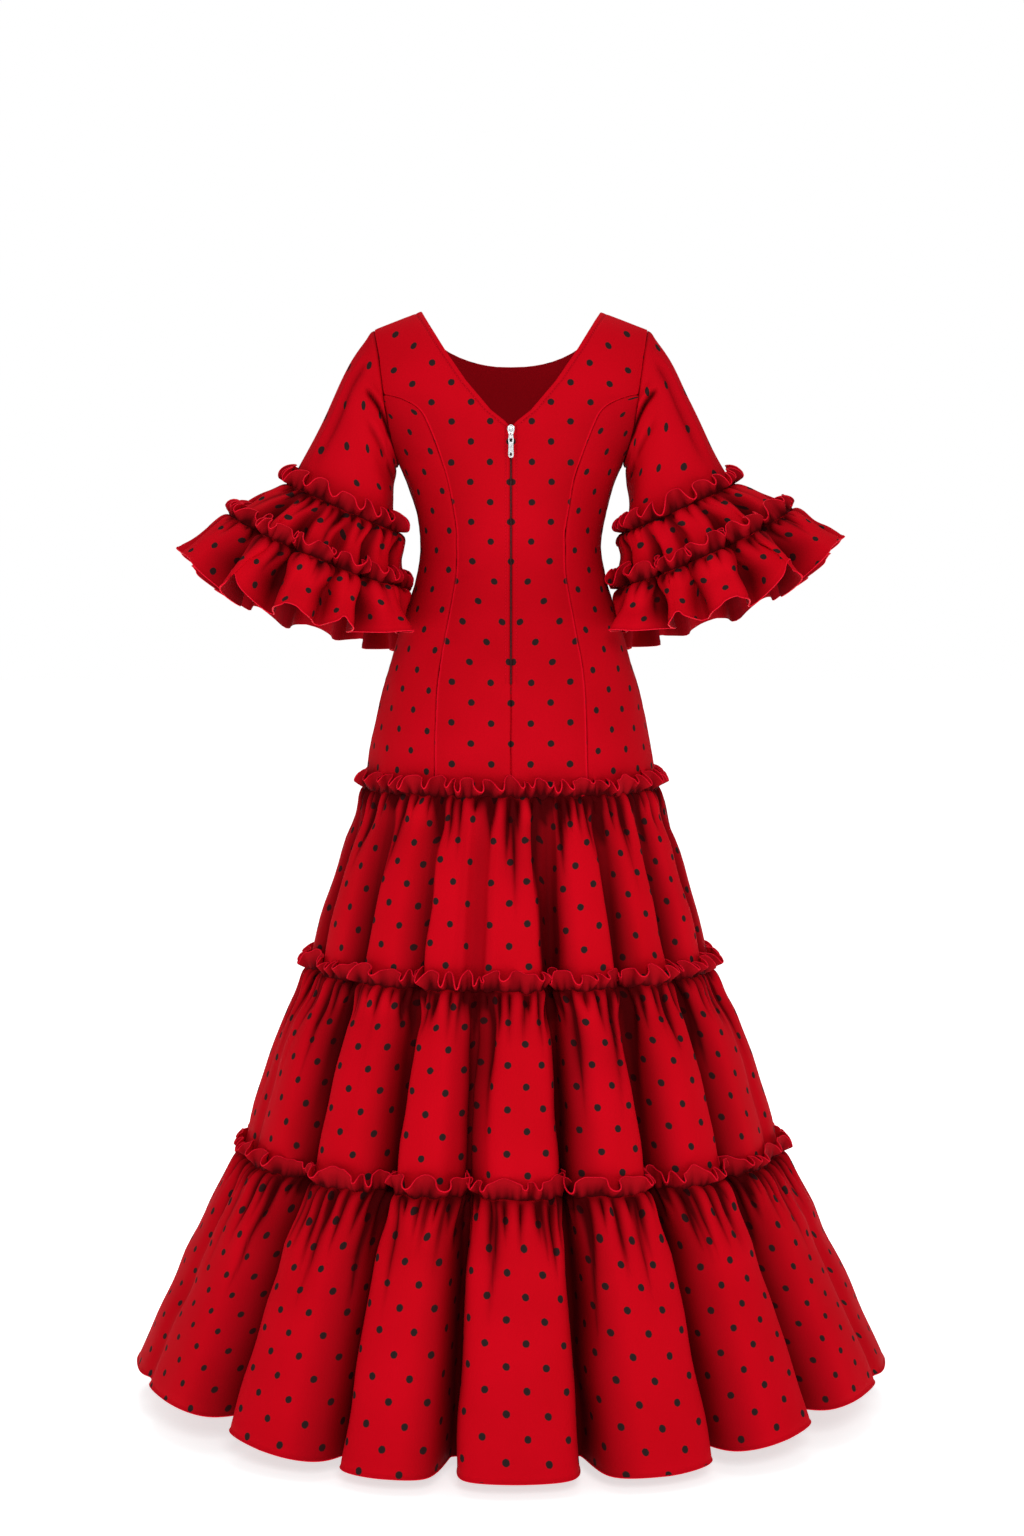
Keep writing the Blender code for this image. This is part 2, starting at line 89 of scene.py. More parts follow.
# The crest line of each tier's outer face up to its gather line, and the folds' depth at each height.
TIERS = (
    table(
        height=(-662, -650, -622, -596, -562, -525, -506, -492, -484, -477.5, -473),
        half_width=(203, 201, 195, 188.5, 179, 168, 162, 157.5, 154, 150, 147.5),
    ),
    table(
        height=(-850, -838, -810, -787, -757, -727, -697, -682, -667, -656, -650),
        half_width=(270, 268, 262, 256, 247.5, 238, 227.5, 221, 214.5, 208, 203.5),
    ),
    table(
        height=(-1065, -1027, -997, -967, -937, -907, -892, -877, -862, -850, -843, -838),
        half_width=(371.5, 357, 345.5, 334, 323, 310, 305, 298, 290, 283, 277, 271),
    ),
)
FOLD_DEPTHS = table(
    height=(-1065, -962, -874, -838, -758, -688, -650, -575, -512, -473),
    fold=(62, 56, 48, 41, 34.5, 27, 19, 12.5, 5, 0),
)
TIER_TOPS = [tier["height"][-1] for tier in TIERS]
# How much higher than its solid's each tier's gather line lies.
RAISED = (0.0, 0.0, 0.006)

# Valleys between the folds, as the depth at each angle. The skirt's angles run from the centre back.
SKIRT_VALLEYS = {-171: 1.0, -148: 1.0, -124: 1.0, -99: 0.8, -74: 0.9, -49: 1.0, -27: 0.95, -10: 1.05}
SKIRT_VALLEYS |= {12: 1.05, 33: 1.0, 53: 1.0, 75: 0.9, 97: 0.8, 120: 1.0, 143: 1.0, 166: 1.0}
FLOUNCE_VALLEYS = {10: 0.9, 55: 1.1, 80: 1.0, 101: 0.8, 122: 1.0, 156: 1.0, 195: 0.7}
FLOUNCE_VALLEYS |= {216: 0.5, 235: 0.8, 257: 0.6, 280: 0.8, 303: 0.6, 325: 0.8, 345: 0.5}

# Each tier has the solids' folds, with its own depths, and wider floors where the cloth lies slack.
DEPTH_CHANGES = (
    {-10: 0.42, 12: 1.45, -27: 0.75, -49: 0.9, 53: 0.9},
    {-10: 0.78, 12: 1.15, -74: 0.15, 75: 0.15},
    {-74: 0.15, 75: 0.15},
)
TIER_VALLEYS = [
    {angle: depth * changes.get(angle, 1.0) for angle, depth in SKIRT_VALLEYS.items()}
    for changes in DEPTH_CHANGES
]
# A floor's half width as a share of its fold, and how flat it is.
USUAL_FLOOR = (0.105, 2.6)
TIER_FLOORS = (
    {-10: (0.24, 3.0), 12: (0.15, 5.0), 97: (0.16, 3.0), -171: (0.2, 3.0)},
    {-10: (0.21, 4.5), -27: (0.15, 3.2), 33: (0.15, 3.2), 143: (0.2, 4.0)},
    {-10: (0.125, 3.6), 12: (0.12, 3.4), -148: (0.13, 3.4)},
)
FLOUNCE_FLOOR = (0.16, 2.4)
# Small upright folds in the wide valleys: angle, width in degrees and height.
TUCKS = (
    ((-14.5, 1.6, 0.0035), (-6.5, 1.4, 0.0040), (10.5, 1.5, 0.004), (97, 2.2, 0.004)),
    ((-12.6, 1.35, 0.0070), (-9.4, 1.15, 0.0050), (-6.9, 1.2, 0.0085), (141, 1.5, 0.007)),
    (),
)

Ring = namedtuple("Ring", "outer_x outer_z inner_x inner_z half_depth sag dip fold")


def rings(*rows):
    """Rings round the arm, in millimetres: their ends in front view, half depth, sag, dip and fold."""
    return [Ring(*(value / 1000 for value in row)) for row in rows]


SLEEVE = rings(
    (158, -48, 117, -166, 43, 0, 0, 0),
    (177, -88, 119, -184, 48, 0, 0, 0),
    (198.5, -133, 119, -202, 53, 0, 0, 0),
    (220, -172, 115, -220, 57, 0, 0, 0),
    (224.5, -181, 114.5, -230, 58.5, 0, 0, 0),
)
UPPER_FLOUNCE = rings(
    (256, -183, 109, -247, 79, 3, 1, 11),
    (280, -202, 105, -276, 94, 7, 3, 19),
    (285, -211, 104, -286, 96.5, 9, 4, 21),
)
LOWER_FLOUNCE = rings((311, -221, 96, -302, 112, 18, 8, 27), (334, -240, 89, -319, 124, 30, 12, 38))

# ---- sizes of the fine cloth
# Gathers: ranges of spacing, depth and length, how deep they start, how sharp they are and how far
# they puff out.
Gathers = namedtuple("Gathers", "spacing depth length start power bulge", defaults=(0.3, 2.6, 0.0))
TIER_GATHERS = Gathers((0.0080, 0.0170), (0.0040, 0.0100), (0.016, 0.085), bulge=0.0044)
TIER_FOLDS = Gathers((0.020, 0.048), (0.0040, 0.0105), (0.050, 0.170), 0.15, 3.4)
TIER_SLACK = Gathers((0.040, 0.085), (0.0030, 0.0080), (0.170, 0.340), 0.05, 2.2)
SLEEVE_GATHERS = Gathers((0.0065, 0.0140), (0.0030, 0.0066), (0.010, 0.042), bulge=0.0034)
SLEEVE_FOLDS = Gathers((0.024, 0.050), (0.0030, 0.0080), (0.030, 0.080), 0.15, 3.0)
FRILL_PLEATS = Gathers((0.0045, 0.0105), (0.0026, 0.0060), (0.05, 0.06), 1.0, 1.6)

# Frills: lengths of short and long waves, degrees they lean and their folds fall, the folds' widest,
# their share of a wave, how arched the edge is, and the room kept from the body.
Frill = namedtuple("Frill", "height short long lean swing widest wide arch room", defaults=(None,))
TIER_FRILLS = [Frill(0.0185, 0.011, long, 13, 45, 0.0042, 0.18, 0.16) for long in (0.030, 0.040, 0.046)]
SLEEVE_FRILL = Frill(0.0195, 0.012, 0.031, 18, 50, 0.0052, 0.25, 0.38, 0.004)
FRILL_ABOVE = 0.018
OFF_CLOTH = 0.0016
# A frill's print is drawn out, as its cloth is gathered.
FRILL_PRINT = 1.7
FRILL_LEVELS = np.array([0.0, 0.09, 0.20, 0.34, 0.50, 0.67, 0.82, 0.93, 1.0])

TOP_ROWS = (
    *(0.0, 0.0012, 0.0035, 0.007, 0.0115, 0.017, 0.0235),
    *(0.031, 0.039, 0.0465, 0.054, 0.061, 0.067, 0.072),
)
BACK_ROWS = -np.concatenate(
    [
        TOP_ROWS,
        (0.075, 0.077, 0.0785, 0.080, 0.082, 0.085, 0.088, 0.091, 0.095, 0.098, 0.101, 0.1045, 0.108),
        (0.1110, 0.1140, 0.1166, 0.1190, 0.1230),
        np.arange(0.128, 0.360, 0.0050),
        (0.3620, 0.3655, 0.3670, 0.3685, 0.3720),
        np.arange(0.377, 0.486, 0.0060),
    ]
)
FRONT_ROWS = -np.concatenate(
    [
        TOP_ROWS[:8],
        (0.0360, 0.0405, 0.0440, 0.0465, 0.0482, 0.0494, 0.0500, 0.0515, 0.0550, 0.0600),
        np.arange(0.066, 0.486, 0.0060),
    ]
)
EDGE_STEPS = np.array([0.0, 0.0005, 0.0011, 0.0019, 0.0030, 0.0043, 0.0056, 0.0070])
TIER_ROWS = np.array([0, 1.3, 2.8, 4.5, 6.5, 9, 12, 15.5, 19.5, 24, 29, 35, 42, 50]) / 1000


# ---- numbers
def hermite(knots, values, at):
    """Values at any place on a cubic curve through the knots, which rise. values may have further axes."""
    slopes = np.gradient(values, knots, axis=0)
    at = np.asarray(at, float)
    index = np.clip(np.searchsorted(knots, at) - 1, 0, len(knots) - 2)
    span = knots[index + 1] - knots[index]
    t = np.clip((at - knots[index]) / span, 0.0, 1.0)
    shape = t.shape + (1,) * (values.ndim - 1)
    t, span = t.reshape(shape), span.reshape(shape)
    start = values[index] * (1 + 2 * t) * (1 - t) ** 2 + slopes[index] * span * t * (1 - t) ** 2
    end = values[index + 1] * t * t * (3 - 2 * t) + slopes[index + 1] * span * t * t * (t - 1)
    return start + end


def at_height(rows, name, height):
    return hermite(rows["height"], rows[name], height)


def edge(rows, height):
    return np.interp(height, rows["height"], rows["offset"])


def unit(vectors):
    return vectors / np.maximum(np.linalg.norm(vectors, axis=-1, keepdims=True), 1e-12)


def smooth(low, high, value):
    t = np.clip((value - low) / (high - low), 0.0, 1.0)
    return t * t * (3 - 2 * t)


def bump(value, width):
    return np.exp(-((value / width) ** 2))


def looped(points):
    """The points with their first one again at the end."""
    return np.concatenate([points, points[:1]])


def chord(points, step=1, axis=0):
    """From the point a few steps before each to the one after it, on a closed line."""
    return np.roll(points, -step, axis) - np.roll(points, step, axis)


def running(steps):
    return np.concatenate([[0.0], np.cumsum(steps)])


def arc(points, closed=False):
    """Distance along a line of points, from its first. A closed one has one more value, its whole length."""
    return running(np.linalg.norm(np.diff(looped(points) if closed else points, axis=0), axis=1))


def on_line(at, known, points, period=None):
    """Points read at places along a line whose own points lie at the known places."""
    return np.stack([np.interp(at, known, points[:, axis], period=period) for axis in range(3)], -1)


def normals(grid, closed):
    """Outward normals of a grid of points whose rows run from the top down."""
    across = chord(grid, axis=1) if closed else np.gradient(grid, axis=1)
    return unit(np.cross(np.gradient(grid, axis=0), across))


def area_of(grid):
    diagonals = np.cross(grid[1:, 1:] - grid[:-1, :-1], grid[1:, :-1] - grid[:-1, 1:])
    return float(np.linalg.norm(diagonals, axis=-1).sum() / 2)


def ripples(u, v, rng, amplitude, wavelength, waves=7):
    """Soft uneven noise over two coordinates in metres."""
    total = 0.0
    for _ in range(waves):
        angle = rng.uniform(0, math.tau)
        number = math.tau / (wavelength * rng.uniform(0.7, 1.6))
        across, down = number * math.cos(angle), number * math.sin(angle)
        total = total + np.sin(u * across + v * down + rng.uniform(0, math.tau))
    return total * amplitude / math.sqrt(waves)


# ---- materials
class Look:
    """The nodes of a material or of the world. Capitals mark a node's inputs, small letters its settings."""

    def __init__(self, name, tree=None, **inputs):
        if tree is None:
            self.material = bpy.data.materials.new(name)
            self.material.use_nodes = True
            tree = self.material.node_tree
        self.tree = tree
        self.shader = tree.nodes.get("Principled BSDF")
        self.shade(**inputs)

    def feed(self, node, inputs):
        for name, value in inputs.items():
            if isinstance(value, bpy.types.NodeSocket):
                self.tree.links.new(value, node.inputs[name])
            else:
                node.inputs[name].default_value = value

    def shade(self, **inputs):
        self.feed(self.shader, {name.replace("_", " "): value for name, value in inputs.items()})

    def node(self, kind, *ordered, **named):
        made = self.tree.nodes.new("ShaderNode" + kind)
        for name, value in named.items():
            if name[0].islower():
                setattr(made, name, value)
        self.feed(made, dict(enumerate(ordered)))
        self.feed(made, {name.replace("_", " "): value for name, value in named.items() if name[0].isupper()})
        return made

    def math(self, operation, *values, clamp=False):
        return self.node("Math", *values, operation=operation, use_clamp=clamp).outputs[0]

    def vector(self, operation, *values):
        return self.node("VectorMath", *values, operation=operation).outputs

    def noise(self, place, scale, detail=2.0, roughness=0.5):
        made = self.node("TexNoise", Vector=place, Scale=scale, Detail=detail, Roughness=roughness)
        return made.outputs["Fac"]

    def mixed(self, factor, first, second):
        made = self.node("Mix", data_type="RGBA")
        self.feed(made, {0: factor, 6: first, 7: second})
        return made.outputs[2]

    def attribute(self, name):
        return self.node("Attribute", attribute_name=name).outputs["Fac"]

    def cloth_place(self):
        return self.node("UVMap", uv_map="cloth").outputs["UV"]

    def object_place(self):
        return self.node("TexCoord").outputs["Object"]

    def relief(self, height, strength, distance):
        made = self.node("Bump", Height=height, Strength=strength, Distance=distance)
        self.shade(Normal=made.outputs["Normal"])


WHITE = (1.0, 1.0, 1.0, 1.0)
RED = (0.620, 0.0013, 0.0100, 1.0)
RED_DEEP = (0.540, 0.0015, 0.0070, 1.0)
# The dark red of painted shade, then the bright red of the rolled edges' thread, which painted highlights
# take too.
RED_PAINTED_SHADE = (0.022, 0.0002, 0.0007, 1.0)
RED_EDGE_AND_HIGHLIGHT = (0.900, 0.0040, 0.0300, 1.0)
DOT = (0.026, 0.0140, 0.0140, 1.0)
DOT_ACROSS = 0.0394
DOT_DOWN = 0.0388
DOT_RADIUS = 0.0029
DOT_ROUGHNESS = 0.0008
DOT_EDGE = 0.0006
DOT_WANDER = 0.0034


def dot_distance(look, place, squeeze, shift):
    """Distance in metres to the nearest dot of one lattice."""
    away = []
    for at, step in ((place[0], DOT_ACROSS), (place[1], DOT_DOWN)):
        steps = look.math("MULTIPLY_ADD", at, 1 / step, shift)
        away.append(look.math("MULTIPLY", look.math("SUBTRACT", steps, look.math("ROUND", steps)), step))
    x = look.math("MULTIPLY", away[0], squeeze)
    return look.math("SQRT", look.math("MULTIPLY_ADD", x, x, look.math("MULTIPLY", away[1], away[1])))


def dot_mask(look, uv):
    """Dots of slightly uneven place and size, on two lattices half a step apart."""
    wobble = look.node("TexNoise", Vector=uv, Scale=14.0).outputs["Color"]
    start = look.vector("ADD", uv, (-DOT_WANDER / 2, -DOT_WANDER / 2, 0.0))[0]
    moved = look.vector("MULTIPLY_ADD", wobble, (DOT_WANDER, DOT_WANDER, 0.0), start)[0]
    place = look.node("SeparateXYZ", moved).outputs
    squeeze = look.attribute("squeeze")
    distance = look.math("MINIMUM", *(dot_distance(look, place, squeeze, shift) for shift in (0.0, 0.5)))
    radius = look.math("MULTIPLY_ADD", look.noise(uv, 420.0), DOT_ROUGHNESS, DOT_RADIUS)
    return look.math("MULTIPLY_ADD", look.math("SUBTRACT", radius, distance), 1 / DOT_EDGE, 0.5, clamp=True)


def cloth_material(name, colour, deep, dots):
    """Matt crepe with a fine grain, a soft sheen, faint uneven shade and, outside, printed dots.
    A point attribute paints shade into the cloth, most in its folds and creases, and, below zero, paints a
    highlight."""
    look = Look(name, Roughness=0.72, Specular_IOR_Level=0.02)
    look.shade(Sheen_Weight=0.03, Sheen_Roughness=0.45, Sheen_Tint=(1.0, 0.05, 0.10, 1.0))
    uv = look.cloth_place()
    cloudy = look.math("MULTIPLY_ADD", look.noise(uv, 9.0, 3.0, 0.6), 1.6, -0.3, clamp=True)
    shade = look.mixed(cloudy, deep, colour)
    if dots:
        shade = look.mixed(dot_mask(look, uv), shade, DOT)
    # Painted shade mixes towards a near black red; below zero, a painted highlight mixes towards the bright
    # red.
    painted_shading = look.attribute("painted_shading")
    for share, toward in ((0.92, RED_PAINTED_SHADE), (-1.0, RED_EDGE_AND_HIGHLIGHT)):
        shade = look.mixed(look.math("MULTIPLY", painted_shading, share, clamp=True), shade, toward)
    look.shade(Base_Color=shade)
    crepe, grain = look.noise(uv, 380.0, 3.0, 0.6), look.noise(uv, 1500.0, 2.0, 0.6)
    look.relief(look.math("MULTIPLY_ADD", crepe, 1.6, grain), 0.22, 0.0002)
    return look.material


def thread_material():
    look = Look("thread", Roughness=0.6, Specular_IOR_Level=0.06)
    grain = look.noise(look.cloth_place(), 1900.0)
    look.shade(Base_Color=look.mixed(grain, RED, RED_EDGE_AND_HIGHLIGHT))
    look.relief(grain, 0.4, 0.0002)
    return look.material


def tape_material():
    look = Look("zip tape", Roughness=0.8)
    bands = {"wave_type": "BANDS", "bands_direction": "DIAGONAL"}
    waves = look.node("TexWave", Vector=look.object_place(), Scale=420.0, Distortion=1.0, **bands)
    weave = waves.outputs["Fac"]
    # The tape's colour is made near black, painted shade for the slit in front of it; the diagonal bands are
    # its weave.
    look.shade(Base_Color=look.mixed(weave, (0.020, 0.0010, 0.0020, 1.0), (0.045, 0.0015, 0.0030, 1.0)))
    return look.material


def metal_material():
    look = Look("zip metal", Metallic=1.0)
    wear = look.noise(look.object_place(), 600.0, 3.0)
    look.shade(Base_Color=look.mixed(wear, (0.80, 0.80, 0.81, 1.0), (0.93, 0.93, 0.94, 1.0)))
    look.shade(Roughness=look.math("MULTIPLY_ADD", wear, 0.18, 0.16))
    look.relief(wear, 0.15, 0.0001)
    return look.material


OUTSIDE = cloth_material("dotted cloth", RED, RED_DEEP, dots=True)
INSIDE = cloth_material("cloth inside", (0.43, 0.003, 0.009, 1.0), (0.36, 0.002, 0.007, 1.0), dots=False)
CLOTH = (OUTSIDE, INSIDE, thread_material())
TAPE = tape_material()
METAL = metal_material()
COIL = Look("zip coil", Base_Color=(0.16, 0.003, 0.008, 1.0), Roughness=0.35).material


# ---- meshes
def placed(name, data, place=(0.0, 0.0, 0.0), turned=(0.0, 0.0, 0.0)):
    made = bpy.data.objects.new(name, data)
    made.location, made.rotation_euler = place, turned
    bpy.context.scene.collection.objects.link(made)
    return made


def handed_over(name, mesh, node, body, sharp):
    """Makes the mesh an object with edges sharp by angle, gives it its body and hides the solid's part at the
    node.
    """
    mesh.set_sharp_from_angle(angle=math.radians(sharp))
    made = placed(name, mesh)
    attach(made, body)
    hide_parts(node)
    return made


def cells(grid):
    """The corners of each cell of a grid, turning from its first corner down."""
    corners = [grid[:-1, :-1], grid[1:, :-1], grid[1:, 1:], grid[:-1, 1:]]
    return np.stack(corners, 2).reshape(-1, 4, *grid.shape[2:])


FACED, LINED, SEWN = 0, 1, 2
TURNED_OVER = [0, 3, 2, 1]
RIMS = {
    "top": (np.s_[0, :-1], np.s_[0, 1:]),
    "bottom": (np.s_[-1, 1:], np.s_[-1, :-1]),
    "left": (np.s_[1:, 0], np.s_[:-1, 0]),
    "right": (np.s_[:-1, -1], np.s_[1:, -1]),
}


class Piece:
    """Collects quads with their UVs, in metres of flat cloth, and makes one object of them."""

    def __init__(self, name):
        self.name = name
        self.points, self.quads, self.uvs, self.kinds, self.squeezes, self.painted_shadings = [], [], [], [], [], []
        self.count = 0

    def faces(self, quads, uvs, kind):
        self.quads.append(quads + self.count)
        self.uvs.append(uvs)
        self.kinds.append(np.full(len(quads), kind))

    def add(self, points, squeeze=1.0, painted_shading=0.0):
        """Adds the points of the faces given before."""
        points = points.reshape(-1, 3)
        self.points.append(points)
        self.squeezes.append(np.broadcast_to(squeeze, (len(points),)))
        self.painted_shadings.append(np.broadcast_to(painted_shading, (len(points),)))
        self.count += len(points)

    def shell(
        self,
        outer,
        uv,
        closed=False,
        thickness=WALL,
        squeeze=1.0,
        painted_shading=0.0,
        rims=None,
        rim=FACED,
        across=None,
    ):
        """A two-sided cloth from its outer face. uv has one more column than a closed outer face."""
        size = outer.shape[:2]
        across = normals(outer, closed) if across is None else across
        index = np.arange(size[0] * size[1]).reshape(size)
        if closed:
            index = np.concatenate([index, index[:, :1]], axis=1)
        far = index + size[0] * size[1]
        self.faces(cells(index), cells(uv), FACED)
        self.faces(cells(far)[:, TURNED_OVER], cells(uv)[:, TURNED_OVER], LINED)
        for first, second in rims or list(RIMS.values())[: 2 if closed else 4]:
            quads = np.stack([index[first], index[second], far[second], far[first]], -1)
            self.faces(quads, np.stack([uv[first], uv[second], uv[second], uv[first]], -2), rim)
        squeeze, painted_shading = (np.tile(np.broadcast_to(value, size).ravel(), 2) for value in (squeeze, painted_shading))
        self.add(np.stack([outer, outer - across * thickness]), squeeze, painted_shading)

    def tube(self, line, radius, sides=5, closed=True, kind=SEWN, hint=(0.0, 0.0, 1.0), flatten=1.0):
        """A thread or rolled edge along a line of points."""
        count = len(line)
        along = unit(chord(line) if closed else np.gradient(line, axis=0))
        side = unit(np.cross(along, hint))
        up = np.cross(side, along)
        turns = np.arange(sides) * math.tau / sides
        cosine, sine = (wave(turns)[None, :, None] for wave in (np.cos, np.sin))
        ring = side[:, None] * cosine + up[:, None] * sine * flatten
        index = np.arange(count * sides).reshape(count, sides)
        index = np.concatenate([index, index[:, :1]], axis=1)
        index = looped(index) if closed else index
        length, around = arc(line, closed), np.arange(sides + 1) * 0.001
        uv = np.stack(np.broadcast_arrays(length[: len(index), None], around[None]), -1)
        self.faces(cells(index)[:, TURNED_OVER], cells(uv)[:, TURNED_OVER], kind)
        if not closed:
            self.faces(np.stack([index[0, 3::-1], index[-1, :4]]), np.zeros((2, 4, 2)), kind)
        self.add(line[:, None] + ring * np.broadcast_to(radius, (count,))[:, None, None])

    def mesh(self, materials):
        quads = np.concatenate(self.quads)
        mesh = bpy.data.meshes.new(self.name)
        mesh.vertices.add(self.count)
        mesh.vertices.foreach_set("co", np.concatenate(self.points).astype(np.float32).ravel())
        mesh.loops.add(quads.size)
        mesh.loops.foreach_set("vertex_index", quads.astype(np.int32).ravel())
        mesh.polygons.add(len(quads))
        mesh.polygons.foreach_set("loop_start", np.arange(0, quads.size, 4, dtype=np.int32))
        for material in materials:
            mesh.materials.append(material)
        mesh.polygons.foreach_set("material_index", np.concatenate(self.kinds).astype(np.int32))
        mesh.polygons.foreach_set("use_smooth", np.ones(len(quads), bool))
        layer = mesh.uv_layers.new(name="cloth")
        layer.uv.foreach_set("vector", np.concatenate(self.uvs).astype(np.float32).ravel())
        for name, values in (("squeeze", self.squeezes), ("painted_shading", self.painted_shadings)):
            attribute = mesh.attributes.new(name, "FLOAT", "POINT")
            attribute.data.foreach_set("value", np.concatenate(values).astype(np.float32))
        mesh.update(calc_edges=True)
        mesh.validate()
        return mesh

    def finish(self, node, slot="cloth", body="dress", materials=CLOTH, sharp=75, **sheet):
        return handed_over(self.name, self.mesh(materials), node, body, sharp)


# ---- camera, floor and light
AMBIENT = 0.26
FLOOR_HEIGHT = -1.078
FLOOR_REACH = 14.0
BACKDROP_FROM, BACKDROP_TO = 0.30, 0.52


def add_camera():
    data = bpy.data.cameras.new("camera")
    data.lens, data.sensor_width, data.shift_y = 61.8, 36.0, -0.1439
    bpy.context.scene.camera = placed("camera", data, (0.001, -2.64, -0.234), (math.radians(90), 0.0, 0.0))


def add_floor():
    mesh = bpy.data.meshes.new("floor")
    signs = ((-1, -1), (1, -1), (1, 1), (-1, 1))
    corners = [(x * FLOOR_REACH, y * FLOOR_REACH, FLOOR_HEIGHT) for x, y in signs]
    mesh.from_pydata(corners, [], [(0, 1, 2, 3)])
    look = Look("pale floor", Roughness=1.0, Specular_IOR_Level=0.0, Emission_Color=WHITE)
    place = look.object_place()
    # Its tint leans a little to cyan against the red light the dress throws on it.
    darker, lighter = (0.74, 0.80, 0.80, 1.0), (0.76, 0.82, 0.82, 1.0)
    look.shade(Base_Color=look.mixed(look.noise(place, 2.0, 3.0), darker, lighter))
    # The floor glows, somewhat near the dress and paper white away from it, where it runs into the backdrop.
    away = look.vector("LENGTH", look.vector("MULTIPLY", place, (1.0, 1.0, 0.0))[0])["Value"]
    reach = {"From_Min": BACKDROP_FROM, "From_Max": BACKDROP_TO, "To_Min": 0.66}
    glow = look.node("MapRange", Value=away, interpolation_type="SMOOTHSTEP", **reach)
    look.shade(Emission_Strength=glow.outputs[0])
    mesh.materials.append(look.material)
    placed("floor", mesh)


def add_light(name, place, target, size, power):
    data = bpy.data.lights.new(name, "AREA")
    data.shape = "RECTANGLE"
    data.size, data.size_y = size
    data.energy = power
    way = np.array(target, float) - np.array(place, float)
    tilt = math.atan2(math.hypot(way[0], way[1]), -way[2])
    placed(name, data, place, (tilt, 0.0, math.atan2(way[1], way[0]) - math.pi / 2))


def add_stage():
    add_floor()
    world = bpy.context.scene.world or bpy.data.worlds.new("studio")
    bpy.context.scene.world = world
    world.use_nodes = True
    look = Look("world", world.node_tree)
    # The backdrop is paper white; what it sheds on the dress is softer.
    seen = look.node("LightPath").outputs["Is Camera Ray"]
    strength = look.math("MULTIPLY_ADD", seen, 1.0 - AMBIENT, AMBIENT)
    look.feed(world.node_tree.nodes["Background"], {"Color": WHITE, "Strength": strength})
    bpy.context.scene.view_settings.view_transform = "Standard"
    add_light("key", (0.35, -3.3, 1.2), (0, 0, -0.5), (1.3, 1.3), 47)
    add_light("fill", (-1.8, -2.9, 0.2), (0, 0, -0.6), (1.2, 1.6), 4)
    add_light("top", (0.0, 0.9, 2.3), (0, 0, -0.7), (1.8, 1.8), 34)


# ---- bodice
def body_point(x, height, facing):
    """The bodice's inner face, as in the solids."""
    half_width = at_height(BODY, "half_width", height)
    depth = np.where(facing < 0, at_height(BODY, "back", height), at_height(BODY, "front", height))
    power = at_height(BODY, "squareness", height)
    across = np.minimum(np.abs(x) / half_width, 1.0)
    rise = np.maximum(0.0, 1 - height / ARMPIT)
    rounding = (1 - rise**SHOULDER_ROUNDNESS) ** (1 / SHOULDER_ROUNDNESS)
    y = facing * depth * (1 - across**power) ** (1 / power) * rounding
    drop = SHOULDER_SLOPE * np.maximum(0.0, np.abs(x) - NECK_HALF_WIDTH) * rise
    return np.stack(np.broadcast_arrays(x, y, height - drop), -1)


def body_clear(points, margin):
    """The points, moved out where they would come nearer the bodice than the margin."""
    half_width, back, front = (
        at_height(BODY, name, points[..., 2]) + margin for name in ("half_width", "back", "front")
    )
    reach = np.hypot(points[..., 0] / half_width, points[..., 1] / np.where(points[..., 1] < 0, back, front))
    scale = np.where((reach < 1) & (points[..., 2] <= ARMPIT), 1 / np.maximum(reach, 0.2), 1.0)
    return points * np.stack([scale, scale, np.ones_like(scale)], -1)


def spread(inner, outer, count):
    """Places between two edges at each row: fine near the edges, even between them."""
    scale = np.minimum(1.0, (outer - inner)[:, None] / (4 * EDGE_STEPS[-1]))
    first = inner[:, None] + EDGE_STEPS * scale
    last = outer[:, None] - EDGE_STEPS[::-1] * scale
    middle = first[:, -1:] + (last[:, :1] - first[:, -1:]) * np.linspace(0, 1, count)[1:-1]
    return np.concatenate([first, middle, last], axis=1)


def turned_in(distance, depth):
    """How far a sewn edge dips towards its seam, by distance from it."""
    return -depth * bump(distance, 0.00055) - 0.00035 * bump(distance, 0.0016)


def pucker(distance, along, rng, amount=0.00022):
    return ripples(along, distance * 0.4, rng, amount, 0.009) * np.exp(-distance / 0.009)


# The few soft creases across the small of the back: height, where they start and end, depth and slope.
WAIST_CREASES = (
    (-0.222, 0.018, 0.085, 0.00075, 0.10),
    (-0.243, 0.030, 0.090, 0.00100, -0.05),
    (-0.262, 0.012, 0.080, 0.00080, -0.22),
    (-0.286, 0.030, 0.100, 0.00060, -0.30),
    (-0.176, 0.050, 0.110, 0.00060, 0.45),
    (-0.150, 0.060, 0.112, 0.00070, 0.60),
)
CREASE_FADE = 0.03


def back_creases(x, z, rng):
    x = np.abs(x)
    total = 0.0
    for height, start, end, depth, slope in WAIST_CREASES:
        depth = depth * rng.uniform(0.6, 1.2)
        line = height + slope * (x - 0.05) + 0.004 * np.sin(x * 60 + rng.uniform(0, 6))
        fade = smooth(start, start + CREASE_FADE, x) * (1 - smooth(end - CREASE_FADE, end, x))
        total = total - depth * bump(z - line, 0.0055) * fade
    return total


def tucked(height):
    """The bodice's lower edge lies in behind the first tier."""
    return -0.0080 * smooth(-0.4715, -0.4775, height)


def princess(height):
    """The princess seam's distance from the middle, with its corners eased."""
    reach = np.minimum(0.011, np.maximum(PRINCESS_TOP - height, 0.0))
    return np.mean([edge(PRINCESS, height + reach * share) for share in np.linspace(-1, 1, 9)], axis=0)


def sewn(height):
    """The princess seam's painted shade and highlight fade towards the armhole."""
    return 0.20 + 0.80 * smooth(-0.076, -0.108, height)


# On the centre back the dots lie closer, and close in towards the zip above the hips.
CENTRE_DOTS = 0.0377
CENTRE_SHIFT = 0.020


